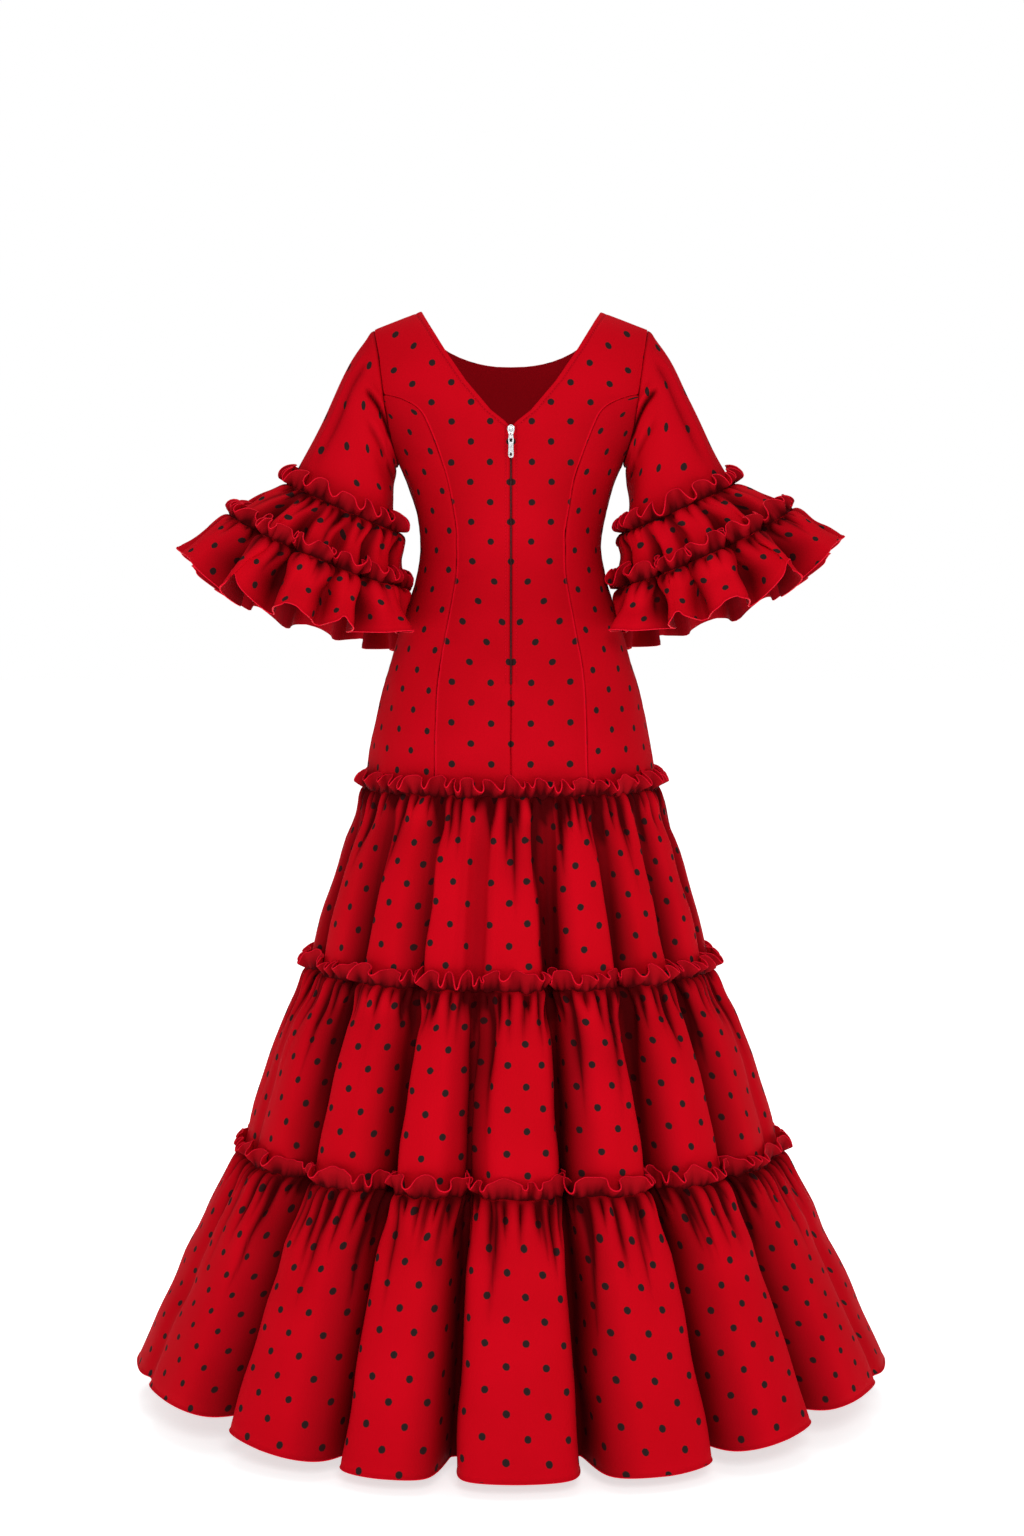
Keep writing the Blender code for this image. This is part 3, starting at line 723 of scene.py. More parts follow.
def centre_print(x, z):
    shift = CENTRE_SHIFT * (1 - smooth(-0.375, -0.225, z))
    return np.stack([(np.abs(x) - CENTRE_SHIFT + shift) * (DOT_ACROSS / CENTRE_DOTS), z + 0.190], -1)


def back_shade(height):
    """The back bows in under the shoulders and again over the hips, and takes a little less light there."""
    return 0.05 + 0.10 * smooth(-0.055, -0.15, height) * (1 - 0.35 * smooth(-0.26, -0.34, height))


def side_shade(from_side, height):
    """The sleeves keep light from the bodice's sides."""
    at = (-0.48, -0.40, -0.33, -0.25, -0.157, -0.137, -0.107, -0.08, 0.0)
    deep = np.interp(height, at, (0.10, 0.22, 0.62, 0.46, 0.70, 0.66, 0.40, 0.18, 0.02))
    wide = np.interp(height, at, (0.030, 0.030, 0.022, 0.045, 0.036, 0.036, 0.045, 0.050, 0.050))
    return deep * np.exp(-from_side / wide) + back_shade(height)


def back_panel(name, side, x, height, facing, lift, painted_shading, uv, squeeze=1.0):
    """A piece and its outer face from the right-hand one's places, which are mirrored for the left."""
    way = np.s_[:, ::-1] if side < 0 else np.s_[:, :]
    grid = body_point(side * x, height, facing)[way]
    face = grid + normals(grid, False) * (WALL + lift[way])[..., None]
    piece = Piece(name)
    piece.shell(face, uv[way], squeeze=squeeze, painted_shading=painted_shading[way])
    return piece, face


NECK_HEM = 0.0056
ZIP_HEM = 0.0046


def back_centre(name, side):
    rng = np.random.default_rng(11 if side < 0 else 12)
    z = BACK_ROWS
    at_zip = np.where(z > ZIP_BOTTOM, 0.00075, 0.00006)
    inner = np.maximum(at_zip, np.where(z > ZIP_TOP, edge(BACK_NECK, z), 0.0))
    outer = np.where(z > PRINCESS_TOP, edge(ARMHOLE, z), princess(z))
    x = spread(inner, outer, 22)
    height = np.broadcast_to(z[:, None], x.shape)
    from_inner, from_outer = x - inner[:, None], outer[:, None] - x
    neck, zipped = height > ZIP_TOP, height > ZIP_BOTTOM
    lift = np.where(neck, -0.0004 * bump(from_inner, 0.0007), turned_in(from_inner, 0.0009))
    lift = np.where(zipped, lift, turned_in(from_inner, 0.0018))
    # The stitched turning beside the neck and the zip.
    turning = np.where(neck, 1.0, np.where(zipped, 0.25 + 0.75 * (1 - smooth(-0.118, -0.190, height)), 0.0))
    hem = np.where(neck, from_inner - NECK_HEM, np.where(zipped, from_inner - ZIP_HEM, 1.0))
    lift -= 0.00050 * bump(hem, 0.0008) * turning
    lift += np.where(zipped & ~neck, 0.0005 * bump(from_inner - 0.0020, 0.0014), 0.0)
    lift += turned_in(from_outer, 0.0011)
    lift += pucker(from_outer, height, rng) + pucker(from_inner, height, rng, 0.00016)
    # Painted shade in the grooves of the stitched turnings and the princess seam, beside the zip and towards
    # the princess seam under the sleeves, with a painted highlight along the seam's edge.
    painted_shading = 0.45 * bump(hem, 0.0007) * turning + 0.30 * bump(from_outer, 0.0006) * sewn(height)
    painted_shading += np.where(zipped & ~neck, 0.30 * bump(from_inner, 0.0012), 0.0)
    painted_shading += back_shade(height) - 0.70 * sewn(height) * bump(from_outer - 0.0015, 0.0007)
    beside = np.interp(height, (-0.40, -0.30, -0.20, -0.12, -0.06, 0.0), (0.06, 0.10, 0.20, 0.20, 0.06, 0.04))
    painted_shading = np.clip(painted_shading + beside * np.exp(-from_outer / 0.026), -1, 1)
    lift += ripples(x, height, rng, 0.00045, 0.060) + back_creases(x, height, rng) + tucked(height)
    uv = centre_print(x, height)
    facing, squeeze = np.full(x.shape, -1.0), CENTRE_DOTS / DOT_ACROSS
    return back_panel(name, side, x, height, facing, lift, painted_shading, uv, squeeze)


def panel_edges(z, first):
    """Distances round the body of a panel's first edge and of the side seam, and the half width used."""
    half_width = at_height(BODY, "half_width", z)
    seam = np.where(z < ARMPIT, half_width, edge(ARMHOLE, z))
    first, last = (np.arcsin(np.clip(value, 0, half_width) / half_width) for value in (first, seam))
    return first, last, half_width


def back_side(name, side):
    rng = np.random.default_rng(13 if side < 0 else 14)
    z = BACK_ROWS[BACK_ROWS < PRINCESS_TOP]
    first, last, half_width = panel_edges(z, princess(z))
    # The back laps over the front at the side seam.
    last = last + np.where(z <= ARMPIT, 0.0010 / half_width, 0.0)
    scale = half_width[:, None]
    places = spread(first * half_width, last * half_width, 16)
    x = scale * np.sin(places / scale)
    height = np.broadcast_to(z[:, None], x.shape)
    facing = np.where(places > scale * math.pi / 2, 1.0, -1.0)
    from_first, from_last = places - (first * half_width)[:, None], (last * half_width)[:, None] - places
    lift = turned_in(from_first, 0.0011) + turned_in(from_last, 0.0014)
    lift += pucker(from_first, height, rng) + pucker(from_last, height, rng)
    lift += ripples(places, height, rng, 0.00045, 0.050) + back_creases(x, height, rng) + tucked(height)
    # Painted shade towards the side seam, under the sleeves, and in the princess seam's groove.
    painted_shading = np.clip(side_shade(from_last, height) + 0.25 * bump(from_first, 0.0006) * sewn(height), 0, 1)
    uv = np.stack([from_first + (0.011 if side < 0 else 0.028), height + 0.1985], -1)
    return back_panel(name, side, x, height, facing, lift, painted_shading, uv)


def front(name):
    rng = np.random.default_rng(15)
    z = FRONT_ROWS
    neck = NECK_HALF_WIDTH * np.sqrt(1 - np.minimum(z / -FRONT_NECK_DROP, 1.0) ** 2)
    first, last, half_width = panel_edges(z, neck)
    last = last - np.where(z <= ARMPIT, 0.00006 / half_width, 0.0)
    places = spread(first * half_width, last * half_width, 30)
    x = half_width[:, None] * np.sin(places / half_width[:, None])
    height = np.broadcast_to(z[:, None], x.shape)
    from_neck, from_seam = places - places[:, :1], places[:, -1:] - places
    dart = 0.052 + 0.16 * (height + 0.243) ** 2 / 0.2
    shaped = smooth(-0.400, -0.330, height) * (1 - smooth(-0.150, -0.125, height))
    piece, area = Piece(name), 0.0
    for side in (1, -1):
        grid = body_point(side * x, height, np.full(x.shape, 1.0))
        grid[0, :, 1] = 0.0001
        lift = turned_in(from_seam, 0.0012) + pucker(from_seam, height, rng)
        lift -= np.where(height > -FRONT_NECK_DROP, 0.0004 * bump(from_neck, 0.0007), 0.0)
        lift -= 0.0006 * bump(places - dart, 0.0009) * shaped
        lift += ripples(side * places, height, np.random.default_rng(16), 0.00045, 0.060) + tucked(height)
        # Columns run from +X to -X, so that the cloth faces outwards.
        way = np.s_[:, ::-1] if side > 0 else np.s_[:, :]
        grid, across, middle = grid[way], normals(grid[way], False), -1 if side > 0 else 0
        level = np.abs(grid[:, middle, 0]) < 1e-6
        across[level, middle, 0] = 0.0
        across = unit(across)
        face = grid + across * (WALL + lift[way])[..., None]
        uv = np.stack([side * places + 0.0197, height + 0.180], -1)[way]
        # Where the neck is open, the middle has a rim too.
        rows = np.s_[: int(np.argmax(level))], np.s_[1 : int(np.argmax(level)) + 1]
        neck_rim = [(row, middle) for row in rows[::side]]
        rims = [RIMS["top"], RIMS["bottom"], RIMS["left" if side > 0 else "right"], neck_rim]
        piece.shell(face, uv, rims=rims, across=across, painted_shading=side_shade(from_seam, height)[way])
        area += area_of(face)
    return piece, area


def merged(obj, distance=0.00002):
    """Joins the two halves of a piece along its middle."""
    bm = bmesh.new()
    bm.from_mesh(obj.data)
    near = [vertex for vertex in bm.verts if abs(vertex.co.x) < distance]
    bmesh.ops.remove_doubles(bm, verts=near, dist=distance)
    bm.to_mesh(obj.data)
    bm.free()


def stitches(piece, line, across, length=0.0023, gap=0.0011, radius=0.00020):
    """Sewn dashes along a line of points on a face whose normals are given."""
    place = arc(line)
    for index in range(int(place[-1] / (length + gap))):
        at = index * (length + gap) + np.array([0.0, 0.25, 0.75, 1.0]) * length
        out = on_line(at, place, across)
        raised = np.array([-0.00015, 0.00012, 0.00012, -0.00015])[:, None]
        dash = on_line(at, place, line) + unit(out) * raised
        piece.tube(dash, radius, sides=4, closed=False, hint=unit(out.mean(0)) + np.array([1e-4, 0, 0]))


ZIP_STITCH_COLUMN, NECK_STITCH_COLUMN = 5, 6


def add_bodice():
    for name, side in (("left", -1), ("right", 1)):
        centre, centre_cloth = f"back_centre_{name}", f"back_centre_{name}_cloth"
        piece, face = back_centre(centre_cloth, side)
        across = normals(face, False)[:, ::side]
        face = face[:, ::side]
        zipped = (BACK_ROWS <= ZIP_TOP - 0.004) & (BACK_ROWS >= ZIP_BOTTOM + 0.002)
        for rows, at in ((zipped, ZIP_STITCH_COLUMN), (BACK_ROWS > ZIP_TOP - 0.001, NECK_STITCH_COLUMN)):
            stitches(piece, face[rows, at], across[rows, at])
        piece.finish(centre, flat=(0.136, 0.495), held="hung", rests_on=["front_cloth"], area=area_of(face))
        piece, face = back_side(f"back_side_{name}_cloth", side)
        flat = (0.140, 0.410)
        piece.finish(f"back_side_{name}", flat=flat, held="hung", rests_on=[centre_cloth], area=area_of(face))
    piece, area = front("front_cloth")
    backs = ["back_centre_left_cloth", "back_centre_right_cloth"]
    merged(piece.finish("front", flat=(0.42, 0.50), held="hung", rests_on=backs, area=area))


# ---- gathers, frills and folds
def turned_on(degrees, angles):
    """The same angles, between the first of the valleys and a whole turn further."""
    return (degrees - angles[0]) % 360 + angles[0]


def nearest_valley(degrees, valleys):
    """Round a tube: the distance to the nearest valley as a share of its fold, its depth and its side."""
    angles, depths = np.array(list(valleys), float), np.array(list(valleys.values()))
    turned = turned_on(degrees, angles)
    index = np.searchsorted(angles, turned, side="right") - 1
    following = (index + 1) % len(angles)
    place = (turned - angles[index]) / ((angles[following] - angles[index]) % 360)
    side = np.where(place < 0.5, -1.0, 1.0)
    return np.minimum(place, 1 - place), np.where(side < 0, depths[index], depths[following]), side


def nearest_floor(degrees, index):
    """The floor of the nearest valley, eased from one valley to the next."""
    angles = np.array(list(TIER_VALLEYS[index]), float)
    away = np.abs((degrees[:, None] - angles[None] + 180) % 360 - 180)
    floors = np.array([TIER_FLOORS[index].get(angle, USUAL_FLOOR) for angle in TIER_VALLEYS[index]])
    blend = np.exp(-((away - away.min(axis=1, keepdims=True)) / 3.0) ** 2)
    blend = blend / blend.sum(axis=1, keepdims=True)
    return (blend @ floors).T


def fold_share(near, width, power):
    """How deep in its fold a place lies, from 0 on a crest to 1 at a valley's middle."""
    far = 1 / (1 + (0.5 / width) ** power)
    return (1 / (1 + (near / width) ** power) - far) / (1 - far)


def lip(near, reach, side, depth):
    """How far a fold's lip leans over its valley."""
    place = near / reach
    return place**2 * np.exp(1 - place**2) * side * depth


def even_columns(angles, points, count, weight):
    """Angles that step evenly round a line of points, finer where weight is larger."""
    steps = np.linalg.norm(np.diff(points, axis=0), axis=1)
    length = running(steps * (weight[1:] + weight[:-1]) / 2)
    return np.interp(np.arange(count) / count * length[-1], length, angles)


def puffs(arcs, down, rng, gathers):
    """Gathers below a closed line, given its arcs: arched puffs between creases of uneven depth and length.
    Returns the outward moves and how hidden in a crease each place is, which is painted as shade."""
    place, total = arcs[:-1], arcs[-1]
    spacing, depth, length, start, power, bulge = gathers
    ends = [0.0]
    while ends[-1] < total - spacing[0]:
        ends.append(ends[-1] + rng.uniform(*spacing))
    number = len(ends) - 1
    ends = np.array(ends[:-1]) * total / ends[-1]
    deep = rng.uniform(*depth, number)
    long = length[0] + (length[1] - length[0]) * rng.uniform(0, 1, number) ** 1.8
    long = long * (0.5 + 0.5 * deep / depth[1])
    slope = rng.normal(0, 0.035, number)
    field, hidden = np.zeros((len(down), len(place))), np.zeros((len(down), len(place)))
    for row, below in enumerate(down):
        rise = start + (1 - start) * (1 - math.exp(-below / 0.003))
        left = np.clip(1 - below / long, 0, 1)
        moved = ends + slope * below
        order = np.argsort(moved)
        moved, strength = moved[order], (deep * rise * left**1.15)[order]
        first = np.searchsorted(moved, place, side="right") - 1
        after, first = (first + 1) % number, first % number
        gap = (moved[after] - moved[first]) % total
        t = np.clip(((place - moved[first]) % total) / np.maximum(gap, 1e-5), 0, 1)
        arch = np.sqrt(np.clip(4 * t * (1 - t), 0, 1))
        field[row] = -strength[first] * (1 - t) ** power - strength[after] * t**power
        field[row] += bulge * arch * (below / 0.006) * math.exp(1 - below / 0.006)
        narrow = 0.0009 + 0.0028 * left[order] ** 1.3
        for crease, away in ((first, t * gap), (after, (1 - t) * gap)):
            hidden[row] += np.exp(-away / narrow[crease]) * np.clip(strength[crease] / 0.0036, 0, 1)
    # A crease never goes deeper than the cloth stands off what it is sewn to.
    room = 0.0014 + 0.62 * down[:, None]
    return np.where(field < 0, -room * np.tanh(-field / room), field), np.clip(hidden, 0, 1)


def gathered(arcs, down, rng, gathers, folds):
    lift, hidden = puffs(arcs, down, rng, gathers)
    soft, soft_hidden = puffs(arcs, down, rng, folds)
    return lift + soft, np.clip(hidden + soft_hidden * 0.8, 0, 1)


def slipped(degrees, valleys, rng, *reaches):
    """How far the print has slipped on each fold, by angle, for each reach."""
    angles = np.array(list(valleys), float)
    bounds = np.append(angles, angles[0] + 360)
    middle, half = (bounds[1:] + bounds[:-1]) / 2, np.diff(bounds) * 0.40
    knots = np.stack([middle - half, middle + half], -1).ravel()
    slips = (np.repeat(rng.uniform(-reach, reach, len(angles)), 2) for reach in reaches)
    return [looped(np.interp(turned_on(degrees, angles), knots, slip, period=360)) for slip in slips]


def true_squeeze(face, u):
    """How much longer the cloth is than its print's u, smoothed along each row, so that dots stay round."""
    steps = np.array([np.diff(arc(row, closed=True)) for row in face])
    lengths, prints = (
        np.array([np.convolve(np.concatenate([row[-4:], row, row[:4]]), np.ones(9), "valid") for row in rows])
        for rows in (steps, np.diff(u)[None])
    )
    return np.clip(lengths / np.maximum(np.abs(prints), 1e-4), 0.25, 3.0)


def frill(name, line, above, shade, count, rng, style):
    """The ruffle that stands over a gather line: broad scallops between narrow folds that fall outwards and
    loop over themselves, opening up from a pleated foot to a rolled edge."""
    lengths = arc(line, closed=True)
    total = lengths[-1]
    ends, kinds = [0.0], []
    while ends[-1] < total:
        crowd = 1 - 0.35 * np.interp(ends[-1], lengths, looped(shade))
        broad = rng.uniform() < 0.62
        width = style.long * rng.uniform(0.55, 1.0) if broad else style.short * rng.uniform(0.9, 1.5)
        ends.append(ends[-1] + width * crowd)
        kinds.append(1.0 if broad else 0.86)
    ends = np.array(ends) * total / ends[-1]
    number = len(ends) - 1
    widths = np.diff(ends)
    # Half the width of the narrow fold at each end, and how it opens, leans over and bulges.
    narrow = np.clip(style.wide * np.minimum(widths, np.roll(widths, 1)), 0.0024, style.widest)
    narrow = narrow * rng.uniform(0.85, 1.35, number)
    opened = rng.uniform(0.55, 1.15, number)
    tipped = rng.uniform(-0.5, 1.3, number)
    bulged = rng.uniform(0.6, 2.2, number)
    tall_of = rng.uniform(0.86, 1.10, number) * np.array(kinds)
    # Columns lie closer near the narrow folds.
    fine = np.linspace(0, total, 20001)
    weight = np.cumsum(1 + 1.6 * bump(np.abs(fine[:, None] - ends[None]).min(axis=1), 0.006))
    place = np.interp(np.arange(count) / count, (weight - weight[0]) / (weight[-1] - weight[0]), fine)
    line, above = (on_line(place, lengths, looped(points)) for points in (line, above))
    shade = np.clip(np.interp(place, lengths, looped(shade)), 0, 1)
    rising = unit(above - line)
    along = unit(chord(line, max(1, int(0.016 / total * count))))
    outward = -unit(np.cross(along, rising))
    from_middle = line - line.mean(axis=0)
    from_middle -= rising * (from_middle * rising).sum(1, keepdims=True)
    if (outward * from_middle).sum() < 0:
        outward = -outward
    outward = unit(outward * 0.8 + unit(from_middle) * 0.4)
    first = np.clip(np.searchsorted(ends, place, side="right") - 1, 0, number - 1)
    after = (first + 1) % number
    across = (place - ends[first]) / widths[first]
    fold, bulb, tip, neck = (np.zeros(count) for _ in range(4))
    for which, away in ((first, place - ends[first]), (after, place - ends[first + 1])):
        x = away / narrow[which]
        near = np.exp(-(x**2))
        fold += opened[which] * near
        bulb += narrow[which] * bulged[which] * x * (0.95 * near - 0.50 * bump(x, 1.9))
        tip += narrow[which] * tipped[which] * near
        neck += bump(np.abs(x) - 1.5, 0.7)
    bow = np.cos(math.tau * across) * 9 + np.sin(place / total * math.tau * 11 + rng.uniform(0, 6)) * 8
    lean = np.radians(style.lean + bow)
    swing = np.radians(style.swing) * fold * (1 - 0.3 * shade)
    tall = style.height * np.interp(place, (ends[1:] + ends[:-1]) / 2, tall_of, period=total)
    tall = tall * (1 - style.arch * (2 * across - 1) ** 2) * (1 - 0.08 * fold)
    pleats, creased = puffs(np.append(place, total), np.array([0.006]), rng, FRILL_PLEATS)
    at = line - rising * 0.0006
    rows = [at]
    for start, end in zip(FRILL_LEVELS[:-1], FRILL_LEVELS[1:]):
        level = (start + end) / 2
        angle = lean * (1.5 - 0.5 * level) + swing * smooth(-0.10, 0.40, level)
        step = (end - start) * tall
        at = at + rising * (step * np.cos(angle))[:, None] + outward * (step * np.sin(angle))[:, None]
        sideways = bulb * smooth(0.1, 1.0, end) + tip * smooth(0.2, 1.0, end)
        pleated = (pleats[0] + 0.0022) * min(1.0, end / 0.15) * (1 - 0.70 * end)
        row = at + along * sideways[:, None] + outward * pleated[:, None]
        rows.append(row if style.room is None else body_clear(row, style.room))
    grid, levels = np.array(rows), FRILL_LEVELS[:, None]
    u = np.append(place, total) * FRILL_PRINT
    uv = np.stack(np.broadcast_arrays(u, -levels * style.height + 0.013), -1)
    # Painted shade at the pleated foot, beside and inside the narrow folds, in the pleats' creases, on uneven
    # facets and over the tier's valleys.
    foot = np.clip(1 - levels / 0.15, 0, 1) * 0.22
    necks = np.clip(neck, 0, 1) * 0.40 * (1 - 0.7 * levels)
    lines = creased[0] * np.clip(1 - levels / 0.80, 0, 1) * 1.15
    inside = np.clip(fold, 0, 1) * 0.15 * (1 - 0.5 * levels)
    facets = smooth(-0.2, 0.7, ripples(place, 0.0, np.random.default_rng(count), 1.0, 0.011))
    faceted = 0.15 * facets * (1 - 0.3 * levels)
    painted_shading = np.clip(foot + necks + lines + inside + faceted + 0.20 * shade, 0, 1)
    piece = Piece(name)
    piece.shell(grid, uv, closed=True, thickness=0.0008, squeeze=1 / FRILL_PRINT, painted_shading=painted_shading)
    piece.tube(grid[-1], 0.00070)
    # The strip's cut is its mean length: its edge is stretched as it is rolled.
    return piece, (float(np.mean([arc(row, closed=True)[-1] for row in grid])), style.height)


def finish_strip(name, face, measured, u, v, painted_shading, thickness, hem_edge, flat, rests_on, ruffle):
    """A gathered strip, with a rolled hem where it has one, and its frill."""
    piece = Piece(f"{name}_cloth")
    rim, squeeze = SEWN if hem_edge else FACED, true_squeeze(measured, u)
    uv = np.stack(np.broadcast_arrays(u, v), -1)
    painted_shading = np.clip(painted_shading, 0, 1)
    piece.shell(face, uv, closed=True, thickness=thickness, squeeze=squeeze, painted_shading=painted_shading, rim=rim)
    if hem_edge:
        piece.tube(*hem_edge)
    ruffle, ruffle_flat = frill(f"{name}_frill", *ruffle)
    piece.finish(name, flat=flat, held="gathered", rests_on=rests_on)
    ruffle.finish(name, flat=ruffle_flat, held="gathered", rests_on=[piece.name])


def row_at(face, down, at):
    """A row of points at a distance down a face."""
    place = np.interp(at, down, np.arange(len(down)))
    low = min(int(place), len(down) - 2)
    return face[low] * (1 - (place - low)) + face[low + 1] * (place - low)


def out_of(below, ring, distance, step=1):
    """A ring of points moved outwards from the surface that runs down from it."""
    return ring + unit(np.cross(below - ring, chord(ring, step))) * distance


# ---- skirt
def skirt_surface(angles, heights, index):
    """A tier's smooth outer face before its gathers: rows of points at the heights, columns at the angles."""
    near, depth, side = nearest_valley(np.degrees(angles), TIER_VALLEYS[index])
    width, power = nearest_floor(np.degrees(angles), index)
    share = fold_share(near, width, power) * depth
    half_width = at_height(TIERS[index], "half_width", heights)[:, None]
    fold = np.interp(heights, FOLD_DEPTHS["height"], FOLD_DEPTHS["fold"])[:, None]
    x = half_width * np.sin(angles)
    y = -SKIRT_DEPTH_RATIO * half_width * np.cos(angles)
    inward = 1 - fold * share / np.hypot(x, y)
    shift = 0.0085 * fold / 0.06 * lip(near, width * 1.43, side, depth)
    along = unit(np.stack([np.cos(angles), SKIRT_DEPTH_RATIO * np.sin(angles)], -1))
    x, y = x * inward + shift * along[:, 0], y * inward + shift * along[:, 1]
    return np.stack([x, y, np.broadcast_to(heights[:, None], x.shape)], -1), share


def skirt_columns(index, count):
    angles = np.linspace(math.radians(-171), math.radians(189), 24001)
    points, share = skirt_surface(angles, TIERS[index]["height"][:1], index)
    return even_columns(angles, points[0], count, 1 - 0.45 * np.clip(share, 0, 1))


def tier_rows(length, last):
    """Distances down a tier, closer at its gathers and at its hem or, on the upper two, its lower seam."""
    even = np.linspace(TIER_ROWS[-1], length, max(3, int((length - TIER_ROWS[-1]) / 0.0125) + 1))
    rows = np.concatenate([TIER_ROWS, even[1:]])
    room, ends = (0.006, (0.0042, 0.0033, 0.0024, 0.0)) if last else (0.0085, (0.0070, 0.0055, 0.0040, 0.0))
    return np.concatenate([rows[rows < length - room], length - np.array(ends)])


def hips(angles):
    """The line on the bodice that the first tier is sewn to, and one above it."""

    def ring(height):
        half_width = at_height(BODY, "half_width", height)
        facing = np.where(np.cos(angles) > 0, -1.0, 1.0)
        return body_point(half_width * np.sin(angles), np.full(angles.shape, height), facing)

    heights = (TIER_TOPS[0], TIER_TOPS[0] + 0.02)
    return [out_of(ring(height - 0.004), ring(height), WALL + 0.0014) for height in heights]


def line_on_tier(face_angles, face, rows, top, height):
    """Gives ring_at(angles): the line at a height, just outside a finished tier, and one above it."""

    def ring_at(angles):
        found = []
        for level in (height, height + FRILL_ABOVE):
            points = row_at(face, rows, top - level)
            low = int(np.interp(top - level, rows, np.arange(len(rows))))
            down = face[min(low + 2, len(rows) - 1)] - face[low]
            points = points + unit(np.cross(down, chord(points, 3))) * OFF_CLOTH
            found.append(on_line(angles, np.append(face_angles, face_angles[0] + math.tau), looped(points)))
        return found

    return ring_at


def add_tier(index, ring_at, count, frill_count):
    """One gathered tier and its frill. ring_at(angles) gives the line it is sewn to and one above it."""
    rng = np.random.default_rng(21 + index)
    last, top, valleys = index == 2, TIER_TOPS[index], TIER_VALLEYS[index]
    angles = skirt_columns(index, count)
    # The cloth ends a little under the next gather line, where it is sewn in.
    bottom = TIERS[2]["height"][0] if last else TIER_TOPS[index + 1] + RAISED[index + 1] - 0.007
    rows = tier_rows(top - bottom, last)
    down, length = rows[:, None], rows[-1]
    base, share = skirt_surface(angles, top - rows, index)
    line, above = ring_at(angles)
    place = arc(line, closed=True)
    line = line + unit(above - line) * ripples(place[:-1], 0.0, rng, 0.0012, 0.013)[:, None]
    free_line = skirt_surface(angles, np.array([top]), index)[0]
    base = base + (1 - smooth(0.0, 0.050, down))[..., None] * (line - free_line)
    if last:
        base[..., 2] += 0.002 * np.clip(share, 0, 1) * smooth(0.55, 1.0, down / length)
    out = normals(base, True)
    lift, hidden = gathered(place, rows, rng, TIER_GATHERS, TIER_FOLDS)
    if not last:
        lift += puffs(place, rows, rng, TIER_SLACK)[0] * smooth(0.0, 0.030, down)
    degrees = (np.degrees(angles) + 180) % 360 - 180
    for angle, width, height in TUCKS[index]:
        lift += height * bump(degrees - angle, width) * smooth(0.004, 0.030, down)
    lift += ripples(place[:-1], down, rng, 0.0010, 0.080) * smooth(0.01, 0.06, down)
    if last:
        # The hem's stitched turning. It hangs higher at the sides.
        lift -= 0.00035 * bump(down - length + 0.0033, 0.0006)
        base[..., 2] += 0.024 * smooth(0.37, 0.97, np.abs(np.sin(angles))) * smooth(0.25, 1.0, down / length)
    else:
        pulled_in = 0.0042 * smooth(length - 0.0074, length - 0.0040, down)
        lift -= pulled_in + 0.0015 * smooth(length - 0.0040, length, down)
    face = base + out * lift[..., None]
    hem = arc(base[-1], closed=True)
    across, along, tilt = slipped(degrees, valleys, rng, 0.010, 0.007, 0.10)
    u = hem + 0.013 * index + across + ripples(hem, 0.0, rng, 0.0016, 0.09)
    v = along + 0.06 * np.sin(hem / 0.05) * tilt - 0.007 * index - down
    # The flank that faces the centre back lies behind the next fold, and its shade is painted on; so is shade
    # in the valleys and creases, where the cloth sinks in, and just under the gather line.
    near, depth, toward = nearest_valley(np.degrees(angles), valleys)
    reach = 0.15 + (0.27, 0.25, 0.23)[index] * smooth(-0.3, 0.3, -toward * np.sin(angles) * 6)
    flank = (1 - smooth(0.02, 1.0, near / reach)) * np.clip(depth, 0, 1.05)
    deep = np.maximum(smooth(0.10, 0.85, share), flank) * np.clip(0.62 + 0.10 * index + down * 3.0, 0, 0.95)
    deep = deep + hidden * 1.1 + 0.25 * smooth(0.0015, 0.008, -lift)
    deep += 0.08 * bump(down, 0.0035) + 0.5 * bump(down, 0.013) * smooth(0.05, 0.5, share)
    carriers = ["front_cloth", "back_centre_left_cloth"] if index == 0 else [f"skirt_tier_{index}_cloth"]
    flat = (float(hem[-1]), float(length) + RAISED[index] - (0 if last else 0.004))
    hem_edge = (face[-1] + np.array([0, 0, 0.0003]), 0.00055, 4) if last else None
    ruffle = (line, above, share, frill_count, rng, TIER_FRILLS[index])
    finish_strip(f"skirt_tier_{index + 1}", face, face, u, v, deep, WALL, hem_edge, flat, carriers, ruffle)
    return angles, face, rows, top


def add_skirt():
    ring_at = hips
    for index, (columns, frill_columns) in enumerate(((800, 920), (980, 1180), (1150, 1440))):
        tier = add_tier(index, ring_at, columns, frill_columns)
        if index < 2:
            ring_at = line_on_tier(*tier, TIER_TOPS[index + 1] + RAISED[index + 1])


# ---- sleeves
def ring_points(ring, turns, depth, side, lift=0.0):
    outer = np.array((ring.outer_x, ring.outer_z + lift))
    inner = np.array((ring.inner_x, ring.inner_z))
    centre, half = (outer + inner) / 2, (outer - inner) / 2
    cosine, sine = np.cos(turns), np.sin(turns)
    across, back = (np.sign(value) * np.abs(value) ** (2 / RING_SQUARENESS) for value in (cosine, sine))
    shrink = 1 - ring.fold * depth / np.linalg.norm(half)
    x = centre[0] + half[0] * across * shrink
    z = centre[1] + half[1] * across * shrink + ring.dip * back - ring.sag * sine * sine
    return np.stack([side * x, -ring.half_depth * back * shrink, z], -1)


def armhole_points(turns, side):
    height = ARMPIT * (1 - (1 + np.cos(turns)) / 2)
    points = body_point(side * edge(ARMHOLE, height), height, np.where(np.sin(turns) > 0, -1.0, 1.0))
    points[:, 1] *= smooth(0.0, 0.02, np.abs(np.sin(turns)))
    points[:, 0] += side * (ARMHOLE_SHIFT * 0.2 + ARMPIT_SHIFT * np.maximum(0.0, -np.cos(turns)))
    return points


